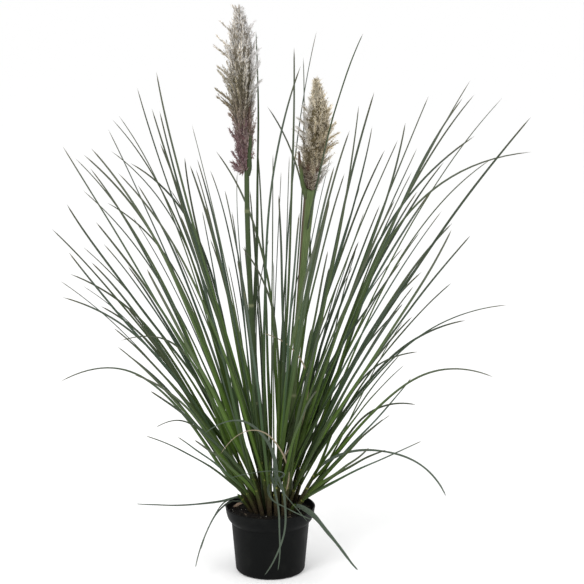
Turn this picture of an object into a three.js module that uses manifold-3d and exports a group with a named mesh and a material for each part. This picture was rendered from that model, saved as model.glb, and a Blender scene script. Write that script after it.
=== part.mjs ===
// Pampas grass in a nursery pot: a clump of leafy tillers round two flowering culms.
// Millimetres, +Z up. The origin is the middle of the pot's underside, and -Y is the front.
import * as THREE from "three";
import { mergeVertices } from "three/addons/utils/BufferGeometryUtils.js";
import Module from "manifold-3d";

const wasm = await Module();
wasm.setup();

// Driving dimensions of the pot.
const POT_HEIGHT = 141;
const RIM_RADIUS = 95;
const COLLAR_HEIGHT = 34; // from the rim down to where the collar meets the body
const COLLAR_STEP = 0.7; // how far the collar's foot stands proud of the body
const BODY_TOP_RADIUS = 82.3;
const BODY_BOTTOM_RADIUS = 73.5;
const BOTTOM_EDGE_RADIUS = 7.5; // rounded edge between the body and the underside
const WALL = 1.8;
const POT_SIDES = 32;
const DRAIN_HOLES = 6;
const DRAIN_RADIUS = 5;
const DRAIN_CIRCLE = 44;

// Driving dimensions of the soil and of what stands in it.
const SOIL_HEIGHT = 128;
const SOIL_RELIEF = 1.6; // height of the crumbs' swells
const CLEARANCE = 0.35; // between pieces that touch
const FOOT_DEPTH = 15; // how far a stem reaches into the soil
const CLUMP_RADIUS = 73; // every stem's foot is inside this
const CLUMP_CENTRE = [6, 16];
const DEAD_LEAF = { radius: 79, from: 128, to: 166, width: 11, thickness: 0.8, height: 128.85 };

// Driving dimensions of the leaves.
const BLADE_STEPS = 4;
const ARCHED_BLADE_STEPS = 8;
const ARCHED_DROOP = 15; // degrees of droop from which a blade takes more steps
const TAPER = 0.3; // a blade narrows with this power of what is left of its length
const ROOT_SHARE = 0.4; // a blade's width where it leaves its sheath, as a share of its full width
const FULL_WIDTH_AT = 0.2; // share of a blade's length at which it has its full width
const KEEL_DEPTH = 1.3;
const TIP_KEEL_DEPTH = 0.7;
const ROOT_HANDLE = 0.3; // how far a blade keeps the way it sets out, as a share of its reach
const TIP_HANDLE = 0.28; // the same for the way it ends
const DROOP_HANDLE = 0.2; // added to TIP_HANDLE per radian of droop
const FOLLOW = 0.6; // how much a blade turns from its sheath's way to its tip's as it sets out
const SHEATH_LEAN = 0.7; // a sheath's lean as a share of its leaves' lean
const FOOT_LEAN = 0.8; // its lean over the lower half, as a share of that over the upper half
const MOST_LEAN = 0.75;
const BLADE_GAP = 1.6; // between blades of different tillers
const BOW_STEP = 7; // a blade that finds no room is bowed and its tip is moved by these
const TIP_STEP = 9;
const BOWS = 11;
const TRIALS = 66;
const LEAVES_PER_TILLER = 4; // a tiller with fewer listed leaves gets inner ones up to this number
const LOWEST_LEAF = 0.3; // blades are rooted above this share of their sheath's length
const HIGHEST_LEAF = 0.9;
const ROOT_ASIDE = 0.6; // how far to the side of its sheath's middle a blade is rooted
const TWIST = [0.5, 1.3]; // radians that a blade is turned at its root, either way
const TURN = 0.8; // most radians that it turns on from there
const FOLDED_TWIST = 0.3; // the same for a blade that folds down, as a share of it
const INNER_LEAF = { aside: 0.6, lean: [0.5, 1.15], length: [380, 700], droop: 0.25, width: [7, 8.5] };
const SHEATH_SIDES = 5;
const SHEATH_GIRTH = [5, 6];
const SHEATH_TAPER = 0.4;
const FLATNESS = 0.8; // a sheath's depth over its width
const FOOT_SHARE = 0.8; // a stem's girth at its foot, as a share of that at the soil's surface
const FLAG_STEPS = 7;

// Driving dimensions of the culms and plumes.
const CULM_SIDES = 8;
const CULM_STEPS = 9;
const STALK_DEPTH = 30; // how far a plume's stalk stands in its culm
const STALK_SINK = 8; // how far it runs into the plume's core
const CORE_SHARE = 0.66; // a plume's core, as a share of its outline
const CORE_SIDES = 6;
const CORE_STEPS = 8;
const BRANCH_GIRTH = 5;
const STRAY_GIRTH = 5.5;
const BRANCH_ROOT = 0.75; // where a branch is rooted, as a share of the core's radius
const BRANCH_LENGTH = [0.85, 1.1]; // a branch's length over its planned length
const BRANCH_PAST = 6; // how far a branch reaches past the outline
const BRANCHES_FROM = 0.01;
const BRANCHES_TO = 0.94; // branches are rooted between these shares of a plume's height
const STRAY_SHARE = 1.3; // how far below its tip a stray is rooted, as a share of the branches' length
const GOLDEN_ANGLE = 2.39996;

const MATERIALS = {
  pot: new THREE.MeshStandardMaterial({ color: 0x1d1e20, roughness: 0.45, metalness: 0 }),
  soil: new THREE.MeshStandardMaterial({ color: 0x2a211a, roughness: 1, metalness: 0 }),
  leaf: new THREE.MeshStandardMaterial({ color: 0x4f7148, roughness: 0.55, metalness: 0 }),
  culm: new THREE.MeshStandardMaterial({ color: 0x64824a, roughness: 0.5, metalness: 0 }),
  silverPlume: new THREE.MeshStandardMaterial({ color: 0xb3a596, roughness: 0.8, metalness: 0 }),
  goldenPlume: new THREE.MeshStandardMaterial({ color: 0xb59d74, roughness: 0.8, metalness: 0 }),
  deadLeaf: new THREE.MeshStandardMaterial({ color: 0x7a5638, roughness: 0.8, metalness: 0 }),
};

// One row per tiller: foot is its [radius, azimuth in degrees] on the soil, sheath is the sheath's length,
// and each leaf is [tip x, tip y, tip z, droop in degrees, width]. A leaf that breaks away from its sheath
// has a sixth number, the angle in degrees from the vertical at which it sets out, and may have a seventh,
// how far it bows sideways. lean, in degrees, is given where the sheath doesn't simply follow its leaves.
const TILLERS = [
  // The outermost ring, from the right and round by the back.
  {
    foot: [50, 8], sheath: 75, lean: 42,
    leaves: [[299, 60, 403, -6, 8], [308, 30, 352, 52, 7], [255, 60, 322, 10, 7], [280, 60, 526, 8, 8]],
  },
  {
    foot: [49, 27], sheath: 105,
    leaves: [
      [386, 110, 599, 14, 8], [285, 152, 545, 10, 7.5], [305, 135, 520, 12, 7.5], [182, 120, 668, 8, 8],
    ],
  },
  {
    foot: [48, 45], sheath: 110,
    leaves: [
      [392, 180, 717, 15, 8], [320, 230, 780, 14, 7.5], [261, 240, 681, 8, 8], [304, 190, 827, 8, 7.5],
    ],
  },
  {
    foot: [49, 63], sheath: 105,
    leaves: [
      [208, 330, 720, 8, 7.5], [194, 260, 665, 8, 8], [-6, 120, 973, 44, 7], [232, 120, 765, 5, 8],
    ],
  },
  {
    foot: [47, 81], sheath: 110,
    leaves: [[196, 280, 783, 6, 8], [40, 300, 850, 9, 7.5], [98, 230, 804, 6, 8], [248, 240, 869, 10, 7.5]],
  },
  {
    foot: [49, 99], sheath: 100,
    leaves: [
      [-40, 300, 700, 10, 7.5], [-30, 330, 520, 26, 7.5], [-101, 240, 781, 8, 7.5], [-45, 200, 786, 6, 7.5],
    ],
  },
  { foot: [48, 117], sheath: 110, leaves: [[-137, 330, 814, 26, 7.5], [-163, 280, 845, 12, 8]] },
  {
    foot: [49, 135], sheath: 105,
    leaves: [
      [-309, 260, 838, 44, 7.5], [-222, 250, 782, 28, 8], [-291, 240, 792, 14, 7.5],
      [-304, 250, 720, 12, 7.5],
    ],
  },
  {
    foot: [47, 153], sheath: 105,
    leaves: [
      [-357, 220, 756, 38, 8], [-387, 180, 836, 13, 8], [-363, 190, 670, 12, 8],
      [-306, 140, 630, 8, 8],
    ],
  },
  {
    foot: [49, 171], sheath: 100,
    leaves: [
      [-419, 60, 627, 32, 7.5], [-399, 110, 592, 22, 7.5], [-366, 140, 542, 26, 7.5],
      [-377, 80, 649, 12, 7.5],
    ],
  },
  {
    foot: [49, 189], sheath: 90,
    leaves: [
      [-425, -90, 432, 62, 7.5], [-296, -30, 476, 16, 8], [-236, -60, 327, 65, 7],
      [-292, -20, 570, 10, 8],
    ],
  },
  {
    foot: [51, 207], sheath: 55, lean: 40,
    leaves: [[-155, -80, 32, 8, 8, 55], [-144, -70, 68, -5, 6, 62, -30], [-274, -100, 177, -8, 8, 105]],
  },
  {
    foot: [48, 225], sheath: 90,
    leaves: [
      [-248, -140, 333, 12, 7], [-181, -170, 339, 3, 7], [-270, -120, 454, 27, 7.5],
      [-303, -120, 512, 10, 7.5],
    ],
  },
  {
    foot: [49, 243], sheath: 100,
    leaves: [
      [-150, -140, 324, 7, 7], [-240, -110, 418, 11, 7.5], [-125, -190, 560, 8, 8],
      [-169, -200, 790, 8, 8],
    ],
  },
  {
    foot: [48, 261], sheath: 130, lean: 12,
    leaves: [
      [-48, -180, 640, 4, 8], [86, -155, 161, 20, 7, 115, -50], [17, -140, 47, 52, 7, 100, 40],
      [-10, -190, 56, 80, 7, 130, 70],
    ],
  },
  {
    foot: [49, 279], sheath: 110, lean: 12,
    leaves: [
      [10, -200, 700, 6, 8], [-128, -190, 352, 68, 8, 5, 30], [-79, -170, 254, 40, 7, 32, 40],
      [78, -175, 163, 45, 5, 52, -30],
    ],
  },
  {
    foot: [48, 297], sheath: 105, lean: 8,
    leaves: [
      [-97, -190, 308, 88, 4, -20, 30], [110, -220, 600, 8, 8], [95, -190, 440, 18, 7.5],
      [198, -240, 728, 6, 8],
    ],
  },
  { foot: [50, 315], sheath: 30, lean: 35, leaves: [[180, -160, 56, 0, 11, 80]] },
  {
    foot: [49, 333], sheath: 75, lean: 42,
    leaves: [
      [313, -60, 299, 1, 7.5], [240, -55, 278, 12, 7.5], [202, -110, 299, -8, 7], [233, -90, 354, 8, 7],
    ],
  },
  {
    foot: [49, 351], sheath: 130,
    leaves: [
      [305, -40, 483, 45, 7.5], [470, 30, 412, 54, 7.5], [262, -100, 489, 8, 7.5], [372, 0, 159, 56, 9, 38],
      [275, -60, 460, 10, 7.5],
    ],
  },
  // The second ring. Its place at azimuth 0 is culm_2's.
  {
    foot: [33, 26], sheath: 120,
    leaves: [
      [497, 40, 565, 37, 7.5], [420, 130, 513, 36, 7.5], [468, 140, 860, 26, 7.5], [397, 60, 995, 14, 7.5],
    ],
  },
  {
    foot: [34, 51], sheath: 130,
    leaves: [
      [438, 210, 992, 15, 7.5], [488, 130, 991, 16, 7.5], [286, 190, 660, 12, 8], [321, 160, 701, 10, 8],
      [369, 150, 853, 12, 7.5],
    ],
  },
  {
    foot: [33, 77], sheath: 135,
    leaves: [[218, 200, 924, -10, 7.5], [160, 215, 821, 8, 8], [-114, 120, 879, 28, 7]],
  },
  {
    foot: [34, 103], sheath: 130,
    leaves: [[5, 190, 866, 2, 7.5], [22, 260, 820, 6, 7.5], [-26, 120, 881, 4, 7]],
  },
  {
    foot: [33, 129], sheath: 130,
    leaves: [[-182, 150, 863, -8, 7.5], [-238, 200, 888, 10, 7.5], [-153, 60, 848, 6, 7.5]],
  },
  {
    foot: [34, 154], sheath: 125,
    leaves: [[-334, 280, 940, 21, 7.5], [-337, 170, 942, 24, 7.5], [-344, 200, 871, 34, 7.5]],
  },
  {
    foot: [33, 180], sheath: 120,
    leaves: [
      [-446, 0, 732, 9, 7.5], [-403, 60, 871, 19, 7.5], [-388, 40, 688, 15, 7.5], [-415, 20, 680, -3, 7],
    ],
  },
  {
    foot: [34, 206], sheath: 115,
    leaves: [
      [-423, -60, 635, 15, 7.5], [-411, -120, 613, 30, 7], [-311, -110, 548, 10, 7.5],
      [-298, -120, 524, 62, 7],
    ],
  },
  {
    foot: [33, 231], sheath: 130,
    leaves: [
      [-398, -150, 917, 2, 7.5], [-355, -200, 838, 19, 8], [-231, -240, 692, 0, 9],
      [-347, -120, 910, 16, 7.5],
    ],
  },
  {
    foot: [34, 257], sheath: 135,
    leaves: [
      [-215, -260, 999, -1, 7.5], [-276, -300, 883, 19, 7.5], [-60, -190, 700, 15, 7.5],
      [-119, -240, 815, 8, 8],
    ],
  },
  {
    foot: [33, 283], sheath: 135,
    leaves: [
      [153, -280, 960, 13, 7.5], [60, -240, 800, 8, 8], [117, -260, 827, 6, 8],
      [-14, -30, 520, 64, 5, -38, -60],
    ],
  },
  {
    foot: [34, 309], sheath: 130,
    leaves: [
      [203, -180, 1024, 6, 7.5], [389, -150, 1044, 8, 7.5], [171, -240, 1003, -8, 7],
      [262, -180, 610, 10, 8],
    ],
  },
  {
    foot: [33, 334], sheath: 120,
    leaves: [
      [288, -120, 636, 8, 8], [306, -90, 659, 18, 7.5], [367, -60, 740, -6, 8], [410, -20, 722, 6, 7.5],
      [530, -20, 892, 50, 7.5], [326, -40, 695, 10, 8],
    ],
  },
  // The third ring. Its place at azimuth 205 is culm_1's.
  {
    foot: [18, 34], sheath: 150,
    leaves: [
      [430, 120, 911, 29, 7.5], [330, 100, 996, 3, 7.5], [335, 40, 807, 10, 8], [281, 80, 943, -10, 7.5],
    ],
  },
  {
    foot: [19, 75], sheath: 160,
    leaves: [[70, 200, 1071, -9, 7.5], [98, 160, 1127, 10, 7.5], [128, 140, 867, 8, 7.5]],
  },
  {
    foot: [18, 116], sheath: 160,
    leaves: [[-235, 100, 1046, -5, 7.5], [-232, 130, 962, -3, 7.5], [-210, 110, 690, 6, 8]],
  },
  {
    foot: [19, 159], sheath: 150,
    leaves: [
      [-325, -10, 937, 4, 7.5], [-374, -20, 886, 22, 7.5], [-414, 0, 783, -4, 7.5], [-360, 40, 740, 8, 8],
    ],
  },
  {
    foot: [18, 247], sheath: 155,
    leaves: [
      [-146, -170, 961, 5, 7.5], [-250, -170, 1032, -4, 7.5], [63, -110, 1069, 24, 7],
      [-63, -60, 858, -10, 7], [-154, -120, 877, 6, 7.5],
    ],
  },
  {
    foot: [19, 292], sheath: 155,
    leaves: [
      [128, -160, 880, 8, 8], [100, -200, 760, 5, 8], [-59, -60, 706, 30, 7], [165, -160, 683, 8, 8],
    ],
  },
  {
    foot: [18, 335], sheath: 150,
    leaves: [
      [519, -70, 967, 7, 7.5], [340, -130, 788, 8, 8],
      [245, -170, 815, 6, 8],
    ],
  },
  // The middle pair.
  { foot: [6, 60], sheath: 165, leaves: [[303, 40, 894, 3, 7.5]] },
  {
    foot: [6, 285], sheath: 165,
    leaves: [
      [50, -110, 1105, -9, 7.5], [20, -130, 820, 4, 7.5], [263, -100, 681, 6, 8], [254, -100, 924, 4, 7.5],
    ],
  },
];

// Flowering stems: the axis's four control points and [share of the height, half-width, half-depth] rows.
// The stalk of a plume stands in the open top. flag is the flag leaf, from a share of the height.
const CULMS = [
  {
    name: "culm_1",
    axis: [[-10, 8, SOIL_HEIGHT], [-24, -8, 370], [-47, -3, 600], [-46, 0, 856]],
    girth: [[0, 6.5, 5.5], [0.2, 6, 5], [0.45, 5.5, 4.8], [0.8, 5.2, 4.6], [1, 5, 4.4]],
    stalk: 2.4,
    flag: { from: 0.5, tip: [-27, 36, 1131], droop: -2, width: 6, bow: [10, 10] },
  },
  {
    name: "culm_2",
    axis: [[39, 16, SOIL_HEIGHT], [42, 2, 360], [62, 0, 600], [83, 0, 814]],
    girth: [[0, 7, 6], [0.35, 6.4, 5.6], [0.65, 6.4, 5.6], [0.78, 8.2, 6], [0.88, 10, 6.6], [1, 11.5, 7]],
    stalk: 3.6,
    flag: { from: 0.86, tip: [185, -75, 1130], droop: 12, width: 6, bow: [0, -45] },
  },
];

// Flower heads: the axis's control points, [share of the height, half-width] rows of the outline, and for
// the branches their number, length and tilt in degrees from the axis. strays are the tips that stand out.
const PLUMES = [
  {
    name: "plume_1",
    axis: [[-49, 0, 858], [-54, 0, 950], [-54, 0, 1080], [-60, 0, 1176]],
    outline: [
      [0, 7], [0.07, 18], [0.2, 22], [0.34, 27], [0.48, 33], [0.6, 37],
      [0.72, 37], [0.8, 33], [0.87, 24], [0.94, 15], [1, 6],
    ],
    branches: 76,
    length: 50,
    tilt: 18,
    strays: [
      [-74, -4, 1184], [-95, -8, 1150], [-104, 6, 1120], [-108, -6, 1102], [-101, -10, 1062],
      [-100, 10, 1050], [-106, 0, 1016], [-104, -8, 1004], [-79, -16, 968], [-80, 6, 932],
      [-75, 4, 888], [-77, -8, 872], [-74, 8, 856],
      [-30, 4, 1150], [-28, -8, 1130], [-22, 4, 1096], [-20, -6, 1068], [-17, 4, 1034],
    ],
    material: "silverPlume",
  },
  {
    name: "plume_2",
    axis: [[84, 0, 818], [88, 0, 880], [105, 0, 960], [95, 0, 1034]],
    outline: [
      [0, 14], [0.08, 23], [0.2, 30], [0.32, 36], [0.46, 40], [0.6, 38],
      [0.7, 33], [0.78, 26], [0.86, 18], [0.93, 12], [1, 6],
    ],
    branches: 60,
    length: 34,
    tilt: 30,
    strays: [
      [67, -6, 984], [55, 4, 962], [53, -8, 942], [60, 6, 902], [60, -6, 866], [134, 4, 948], [140, -4, 928],
      [138, 6, 910], [118, -4, 876], [120, 4, 852], [124, -10, 980],
    ],
    material: "goldenPlume",
  },
];

const point = (x, y, z) => new THREE.Vector3(x, y, z);
const UP = point(0, 0, 1);
const FRONT = -Math.PI / 2; // the front's azimuth

// A repeatable stream of numbers from 0 to 1.
function seeded(seed) {
  let state = seed;
  return () => {
    state = (state + 0x6d2b79f5) | 0;
    let mixed = Math.imul(state ^ (state >>> 15), 1 | state);
    mixed = (mixed + Math.imul(mixed ^ (mixed >>> 7), 61 | mixed)) ^ mixed;
    return ((mixed ^ (mixed >>> 14)) >>> 0) / 4294967296;
  };
}

// The unit vector at this azimuth that leans this far from the vertical.
function heading(azimuth, lean) {
  const flat = Math.sin(lean);
  return point(flat * Math.cos(azimuth), flat * Math.sin(azimuth), Math.cos(lean));
}

// Across and above for a blade that runs along this tangent and grows away at this azimuth, turned by twist.
function crossAxes(tangent, azimuth, twist) {
  const side = point(-Math.sin(azimuth), Math.cos(azimuth), 0);
  side.addScaledVector(tangent, -side.dot(tangent)).normalize();
  side.applyAxisAngle(tangent, twist);
  return { side, above: point(0, 0, 0).crossVectors(tangent, side) };
}

// A closed solid through rings of points that run anticlockwise seen from the end. The last ring may be a
// single point. The quads of the first ownSides sides split one way and the rest the other way.
function loft(rings, ownSides) {
  const sides = rings[0].length;
  const places = rings.flat();
  const faces = [];
  for (let i = 2; i < sides; i++) {
    faces.push(0, i, i - 1);
  }
  rings.slice(1).forEach((ring, step) => {
    const a = step * sides;
    const b = a + sides;
    for (let i = 0; i < sides; i++) {
      const j = (i + 1) % sides;
      if (ring.length === 1) {
        faces.push(a + i, a + j, b);
      } else if (i < ownSides) {
        faces.push(a + i, a + j, b + j, a + i, b + j, b + i);
      } else {
        faces.push(a + i, a + j, b + i, a + j, b + j, b + i);
      }
    }
  });
  if (rings.at(-1).length > 1) {
    const start = (rings.length - 1) * sides;
    for (let i = 2; i < sides; i++) {
      faces.push(start, start + i - 1, start + i);
    }
  }
  const geometry = new THREE.BufferGeometry().setFromPoints(places);
  geometry.setIndex(faces);
  return geometry;
}

function solidOf(geometry) {
  const bare = geometry.clone();
  bare.deleteAttribute("normal");
  bare.deleteAttribute("uv");
  const merged = mergeVertices(bare, 1e-4);
  const mesh = new wasm.Mesh({
    numProp: 3,
    vertProperties: new Float32Array(merged.attributes.position.array),
    triVerts: new Uint32Array(merged.index.array),
  });
  return new wasm.Manifold(mesh);
}

function meshOf(name, solid, material) {
  const mesh = solid.getMesh();
  const geometry = new THREE.BufferGeometry();
  geometry.setAttribute("position", new THREE.BufferAttribute(mesh.vertProperties, 3));
  geometry.setIndex(new THREE.BufferAttribute(mesh.triVerts, 1));
  geometry.computeVertexNormals();
  const made = new THREE.Mesh(geometry, material);
  made.name = name;
  return made;
}

// An oval ring across a stem.
function ovalRing(centre, tangent, azimuth, halfWidth, halfDepth, sides) {
  const { side, above } = crossAxes(tangent, azimuth, 0);
  return Array.from({ length: sides }, (_, i) => {
    const angle = (2 * Math.PI * i) / sides;
    return centre
      .clone()
      .addScaledVector(side, halfWidth * Math.cos(angle))
      .addScaledVector(above, halfDepth * Math.sin(angle));
  });
}

// ---- Pot and soil ----

// The pot's outside from the underside's edge to the rim, as [radius, height].
function outerProfile() {
  const edge = BOTTOM_EDGE_RADIUS;
  const rounded = [0, 45].map((degrees) => {
    const angle = THREE.MathUtils.degToRad(degrees);
    return [BODY_BOTTOM_RADIUS - edge + edge * Math.sin(angle), edge - edge * Math.cos(angle)];
  });
  return [
    ...rounded,
    [BODY_BOTTOM_RADIUS, edge],
    [BODY_TOP_RADIUS, POT_HEIGHT - COLLAR_HEIGHT],
    [BODY_TOP_RADIUS + COLLAR_STEP, POT_HEIGHT - COLLAR_HEIGHT + COLLAR_STEP],
    [RIM_RADIUS - 5.5, POT_HEIGHT - 25],
    [RIM_RADIUS - 2, POT_HEIGHT - 14],
    [RIM_RADIUS, POT_HEIGHT - 2],
  ];
}

// The pot's inside from the rim down to the floor's edge.
function innerProfile() {
  return [
    [RIM_RADIUS - WALL, POT_HEIGHT - 1],
    [RIM_RADIUS - 5.5 - WALL, POT_HEIGHT - 25],
    [BODY_TOP_RADIUS - WALL, POT_HEIGHT - COLLAR_HEIGHT],
    [BODY_BOTTOM_RADIUS - WALL, BOTTOM_EDGE_RADIUS + WALL],
    [BODY_BOTTOM_RADIUS - BOTTOM_EDGE_RADIUS, WALL],
  ];
}

// A lathe round Z from [radius, height] pairs.
function turned(profile) {
  const outline = profile.map(([radius, height]) => new THREE.Vector2(radius, height));
  return new THREE.LatheGeometry(outline, POT_SIDES).rotateX(Math.PI / 2);
}

function pot() {
  const lip = [RIM_RADIUS - WALL / 2, POT_HEIGHT];
  let solid = solidOf(turned([[0, 0], ...outerProfile(), lip, ...innerProfile(), [0, WALL]]));
  for (let i = 0; i < DRAIN_HOLES; i++) {
    const angle = (2 * Math.PI * i) / DRAIN_HOLES;
    const drill = new THREE.CylinderGeometry(DRAIN_RADIUS, DRAIN_RADIUS, 4 * WALL, 10).rotateX(Math.PI / 2);
    drill.translate(DRAIN_CIRCLE * Math.cos(angle), DRAIN_CIRCLE * Math.sin(angle), 0);
    solid = solid.subtract(solidOf(drill));
  }
  return meshOf("pot", solid, MATERIALS.pot);
}

// Height of the soil's surface above SOIL_HEIGHT. It is level among the stems and at the pot's wall.
function soilRelief(x, y) {
  // Three crossing waves, 30, 37 and 20 mm long.
  const swell = Math.sin(x * 0.21 + 1.3) * Math.cos(y * 0.17 - 0.6) + 0.6 * Math.sin(x * 0.09 - y * 0.31);
  const radius = Math.hypot(x, y);
  return radius > CLUMP_RADIUS + 1 && radius < CLUMP_RADIUS + 18 ? 0.6 * SOIL_RELIEF * swell : 0;
}

function soil(holes) {
  const inside = innerProfile().map(([radius, height]) => [height, radius]).reverse();
  const wall = inside.filter(([height]) => height < SOIL_HEIGHT);
  const outer = wall.map(([height, radius]) => [radius - CLEARANCE, height + CLEARANCE]);
  const edge = valueAt(inside, SOIL_HEIGHT) - CLEARANCE;
  const radii = [edge, CLUMP_RADIUS + 14, CLUMP_RADIUS + 7, CLUMP_RADIUS, 0];
  const surface = radii.map((radius) => [radius, SOIL_HEIGHT]);
  const body = turned([[0, WALL + CLEARANCE], ...outer, ...surface]);
  const places = body.attributes.position;
  for (let i = 0; i < places.count; i++) {
    if (places.getZ(i) > SOIL_HEIGHT - 0.01) {
      places.setZ(i, SOIL_HEIGHT + soilRelief(places.getX(i), places.getY(i)));
    }
  }
  const solid = holes.reduce((left, hole) => left.subtract(hole), solidOf(body));
  return meshOf("soil", solid, MATERIALS.soil);
}

// A flat scrap of old leaf that lies on the soil between the clump and the rim, narrower at its ends.
function deadLeaf() {
  const { radius, from, to, width, thickness, height } = DEAD_LEAF;
  const steps = 5;
  const rings = [];
  for (let i = 0; i <= steps; i++) {
    const t = i / steps;
    const angle = THREE.MathUtils.degToRad(from + (to - from) * t);
    const half = (width / 2) * Math.sin(Math.PI * (0.15 + 0.7 * t));
    const corner = (r, z) => point(r * Math.cos(angle), r * Math.sin(angle), z);
    rings.push([
      corner(radius - half, height),
      corner(radius - half, height + thickness),
      corner(radius + half, height + thickness),
      corner(radius + half, height),
    ]);
  }
  return meshOf("dead_leaf", solidOf(loft(rings, 4)), MATERIALS.deadLeaf);
}

// ---- Keeping blades of different tillers apart ----

// Shortest distance between two straight stretches.
function stretchGap(p1, q1, p2, q2) {
  const d1 = q1.clone().sub(p1);
  const d2 = q2.clone().sub(p2);
  const r = p1.clone().sub(p2);
  const a = d1.dot(d1);
  const e = d2.dot(d2);
  const b = d1.dot(d2);
  const c = d1.dot(r);
  const f = d2.dot(r);
  const spread = a * e - b * b;
  let s = spread > 1e-9 ? THREE.MathUtils.clamp((b * f - c * e) / spread, 0, 1) : 0;
  const t = THREE.MathUtils.clamp((b * s + f) / e, 0, 1);
  s = THREE.MathUtils.clamp((b * t - c) / a, 0, 1);
  return r.addScaledVector(d1, s).addScaledVector(d2, -t).length();
}

// What already stands: lines of points with a half-width at each, and the piece that owns them.
const standing = [];

function stand(owner, points, halfWidths) {
  const box = new THREE.Box3().setFromPoints(points).expandByScalar(Math.max(...halfWidths) + BLADE_GAP);
  standing.push({ owner, points, halfWidths, box });
}

// How far this line keeps from everything that other pieces own, less both half-widths.
function room(owner, points, halfWidths) {
  const box = new THREE.Box3().setFromPoints(points).expandByScalar(Math.max(...halfWidths));
  let least = Infinity;
  for (const other of standing) {
    if (other.owner === owner || !other.box.intersectsBox(box)) {
      continue;
    }
    for (let i = 1; i < points.length; i++) {
      for (let j = 1; j < other.points.length; j++) {
        const gap = stretchGap(points[i - 1], points[i], other.points[j - 1], other.points[j]);
        least = Math.min(least, gap - halfWidths[i - 1] - other.halfWidths[j - 1]);
      }
    }
  }
  return least;
}

// ---- Tillers ----

function bladeWidth(width, t) {
  const opened = Math.min(1, ROOT_SHARE + ((1 - ROOT_SHARE) * t) / FULL_WIDTH_AT);
  return width * opened * (1 - t) ** TAPER;
}

// A sheath's axis leaves the soil more upright than it ends.
function sheathAxis(foot, azimuth, lean, length) {
  const middle = foot.clone().addScaledVector(heading(azimuth, FOOT_LEAN * lean), length / 2);
  const end = middle.clone().addScaledVector(heading(azimuth, lean), length / 2);
  return new THREE.QuadraticBezierCurve3(foot, middle, end);
}

// A sheath's rings from its foot up. The second ring lies level in the soil's surface.
function sheathRings(tiller, grow) {
  const { axis, azimuth, girth } = tiller;
  const down = axis.getTangent(0).negate();
  const foot = axis.getPoint(0).addScaledVector(down, FOOT_DEPTH + grow);
  const halfWidth = girth + grow;
  const halfDepth = FLATNESS * girth + grow;
  return [
    ovalRing(foot, down.negate(), azimuth, FOOT_SHARE * halfWidth, FOOT_SHARE * halfDepth, SHEATH_SIDES),
    ovalRing(axis.getPoint(0), UP, azimuth, halfWidth, halfDepth, SHEATH_SIDES),
    ...[0.5, 1].map((t) => {
      const slim = (1 - SHEATH_TAPER * t) * girth;
      return ovalRing(axis.getPoint(t), axis.getTangent(t), azimuth, slim, FLATNESS * slim, SHEATH_SIDES);
    }),
  ];
}

// A leaf's midline: out of the sheath along it, and to the tip with the given droop. aside bows its middle
// and shift moves its tip, both across the way that it grows.
function midline(tiller, leaf, aside, shift) {
  const root = tiller.axis.getPoint(leaf.from).add(leaf.offset ?? point(0, 0, 0));
  const tip = point(...leaf.tip);
  const azimuth = Math.atan2(tip.y - root.y, tip.x - root.x);
  const across = point(-Math.sin(azimuth), Math.cos(azimuth), 0);
  tip.addScaledVector(across, shift);
  const reach = tip.distanceTo(root);
  const rise = Math.atan2(tip.z - root.z, Math.hypot(tip.x - root.x, tip.y - root.y));
  const end = heading(azimuth, Math.PI / 2 - rise + leaf.droop);
  const chord = tip.clone().sub(root).normalize();
  const along = tiller.axis.getTangent(leaf.from).lerp(chord, FOLLOW).normalize();
  const start = leaf.fold ? heading(azimuth, leaf.fold) : along;
  const bow = aside + (leaf.bow ?? 0);
  const first = root.clone().addScaledVector(start, ROOT_HANDLE * reach).addScaledVector(across, bow);
  const handle = TIP_HANDLE + DROOP_HANDLE * Math.max(0, leaf.droop);
  const second = tip.clone().addScaledVector(end, -handle * reach).addScaledVector(across, bow);
  return { curve: new THREE.CubicBezierCurve3(root, first, second, tip), azimuth };
}

// A narrow blade with a keel below, ending in a point.
function blade(curve, azimuth, width, twist, steps) {
  const rings = [];
  for (let i = 0; i < steps; i++) {
    const t = i / steps;
    const centre = curve.getPoint(t);
    const { side, above } = crossAxes(curve.getTangent(t), azimuth, twist[0] + twist[1] * t);
    const half = bladeWidth(width, t) / 2;
    const keel = KEEL_DEPTH + (TIP_KEEL_DEPTH - KEEL_DEPTH) * t;
    rings.push([
      centre.clone().addScaledVector(side, half),
      centre.clone().addScaledVector(side, -half),
      centre.clone().addScaledVector(above, -keel),
    ]);
  }
  rings.push([curve.getPoint(1)]);
  return loft(rings, 1);
}

// 0, 1, -1, 2, -2 and so on.
const nthStep = (n) => Math.ceil(n / 2) * (n % 2 ? 1 : -1);

// Lays a leaf where it clears every other piece, bowing and shifting it a little at a time. Null where there
// is no room for it.
function laidLeaf(tiller, leaf) {
  const arched = leaf.fold || leaf.droop > THREE.MathUtils.degToRad(ARCHED_DROOP);
  const steps = arched ? ARCHED_BLADE_STEPS : BLADE_STEPS;
  for (let trial = 0; trial < TRIALS; trial++) {
    const aside = BOW_STEP * nthStep(trial % BOWS);
    const shift = TIP_STEP * nthStep(Math.floor(trial / BOWS));
    const { curve, azimuth } = midline(tiller, leaf, aside, shift);
    const points = curve.getPoints(steps);
    const halfWidths = points.map((_, i) => bladeWidth(leaf.width, i / steps) / 2);
    if (room(tiller.name, points, halfWidths) > BLADE_GAP) {
      stand(tiller.name, points, halfWidths);
      return blade(curve, azimuth, leaf.width, leaf.twist, steps);
    }
  }
  return null;
}

const random = seeded(7);
const spread = (low, high) => low + (high - low) * random();

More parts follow.
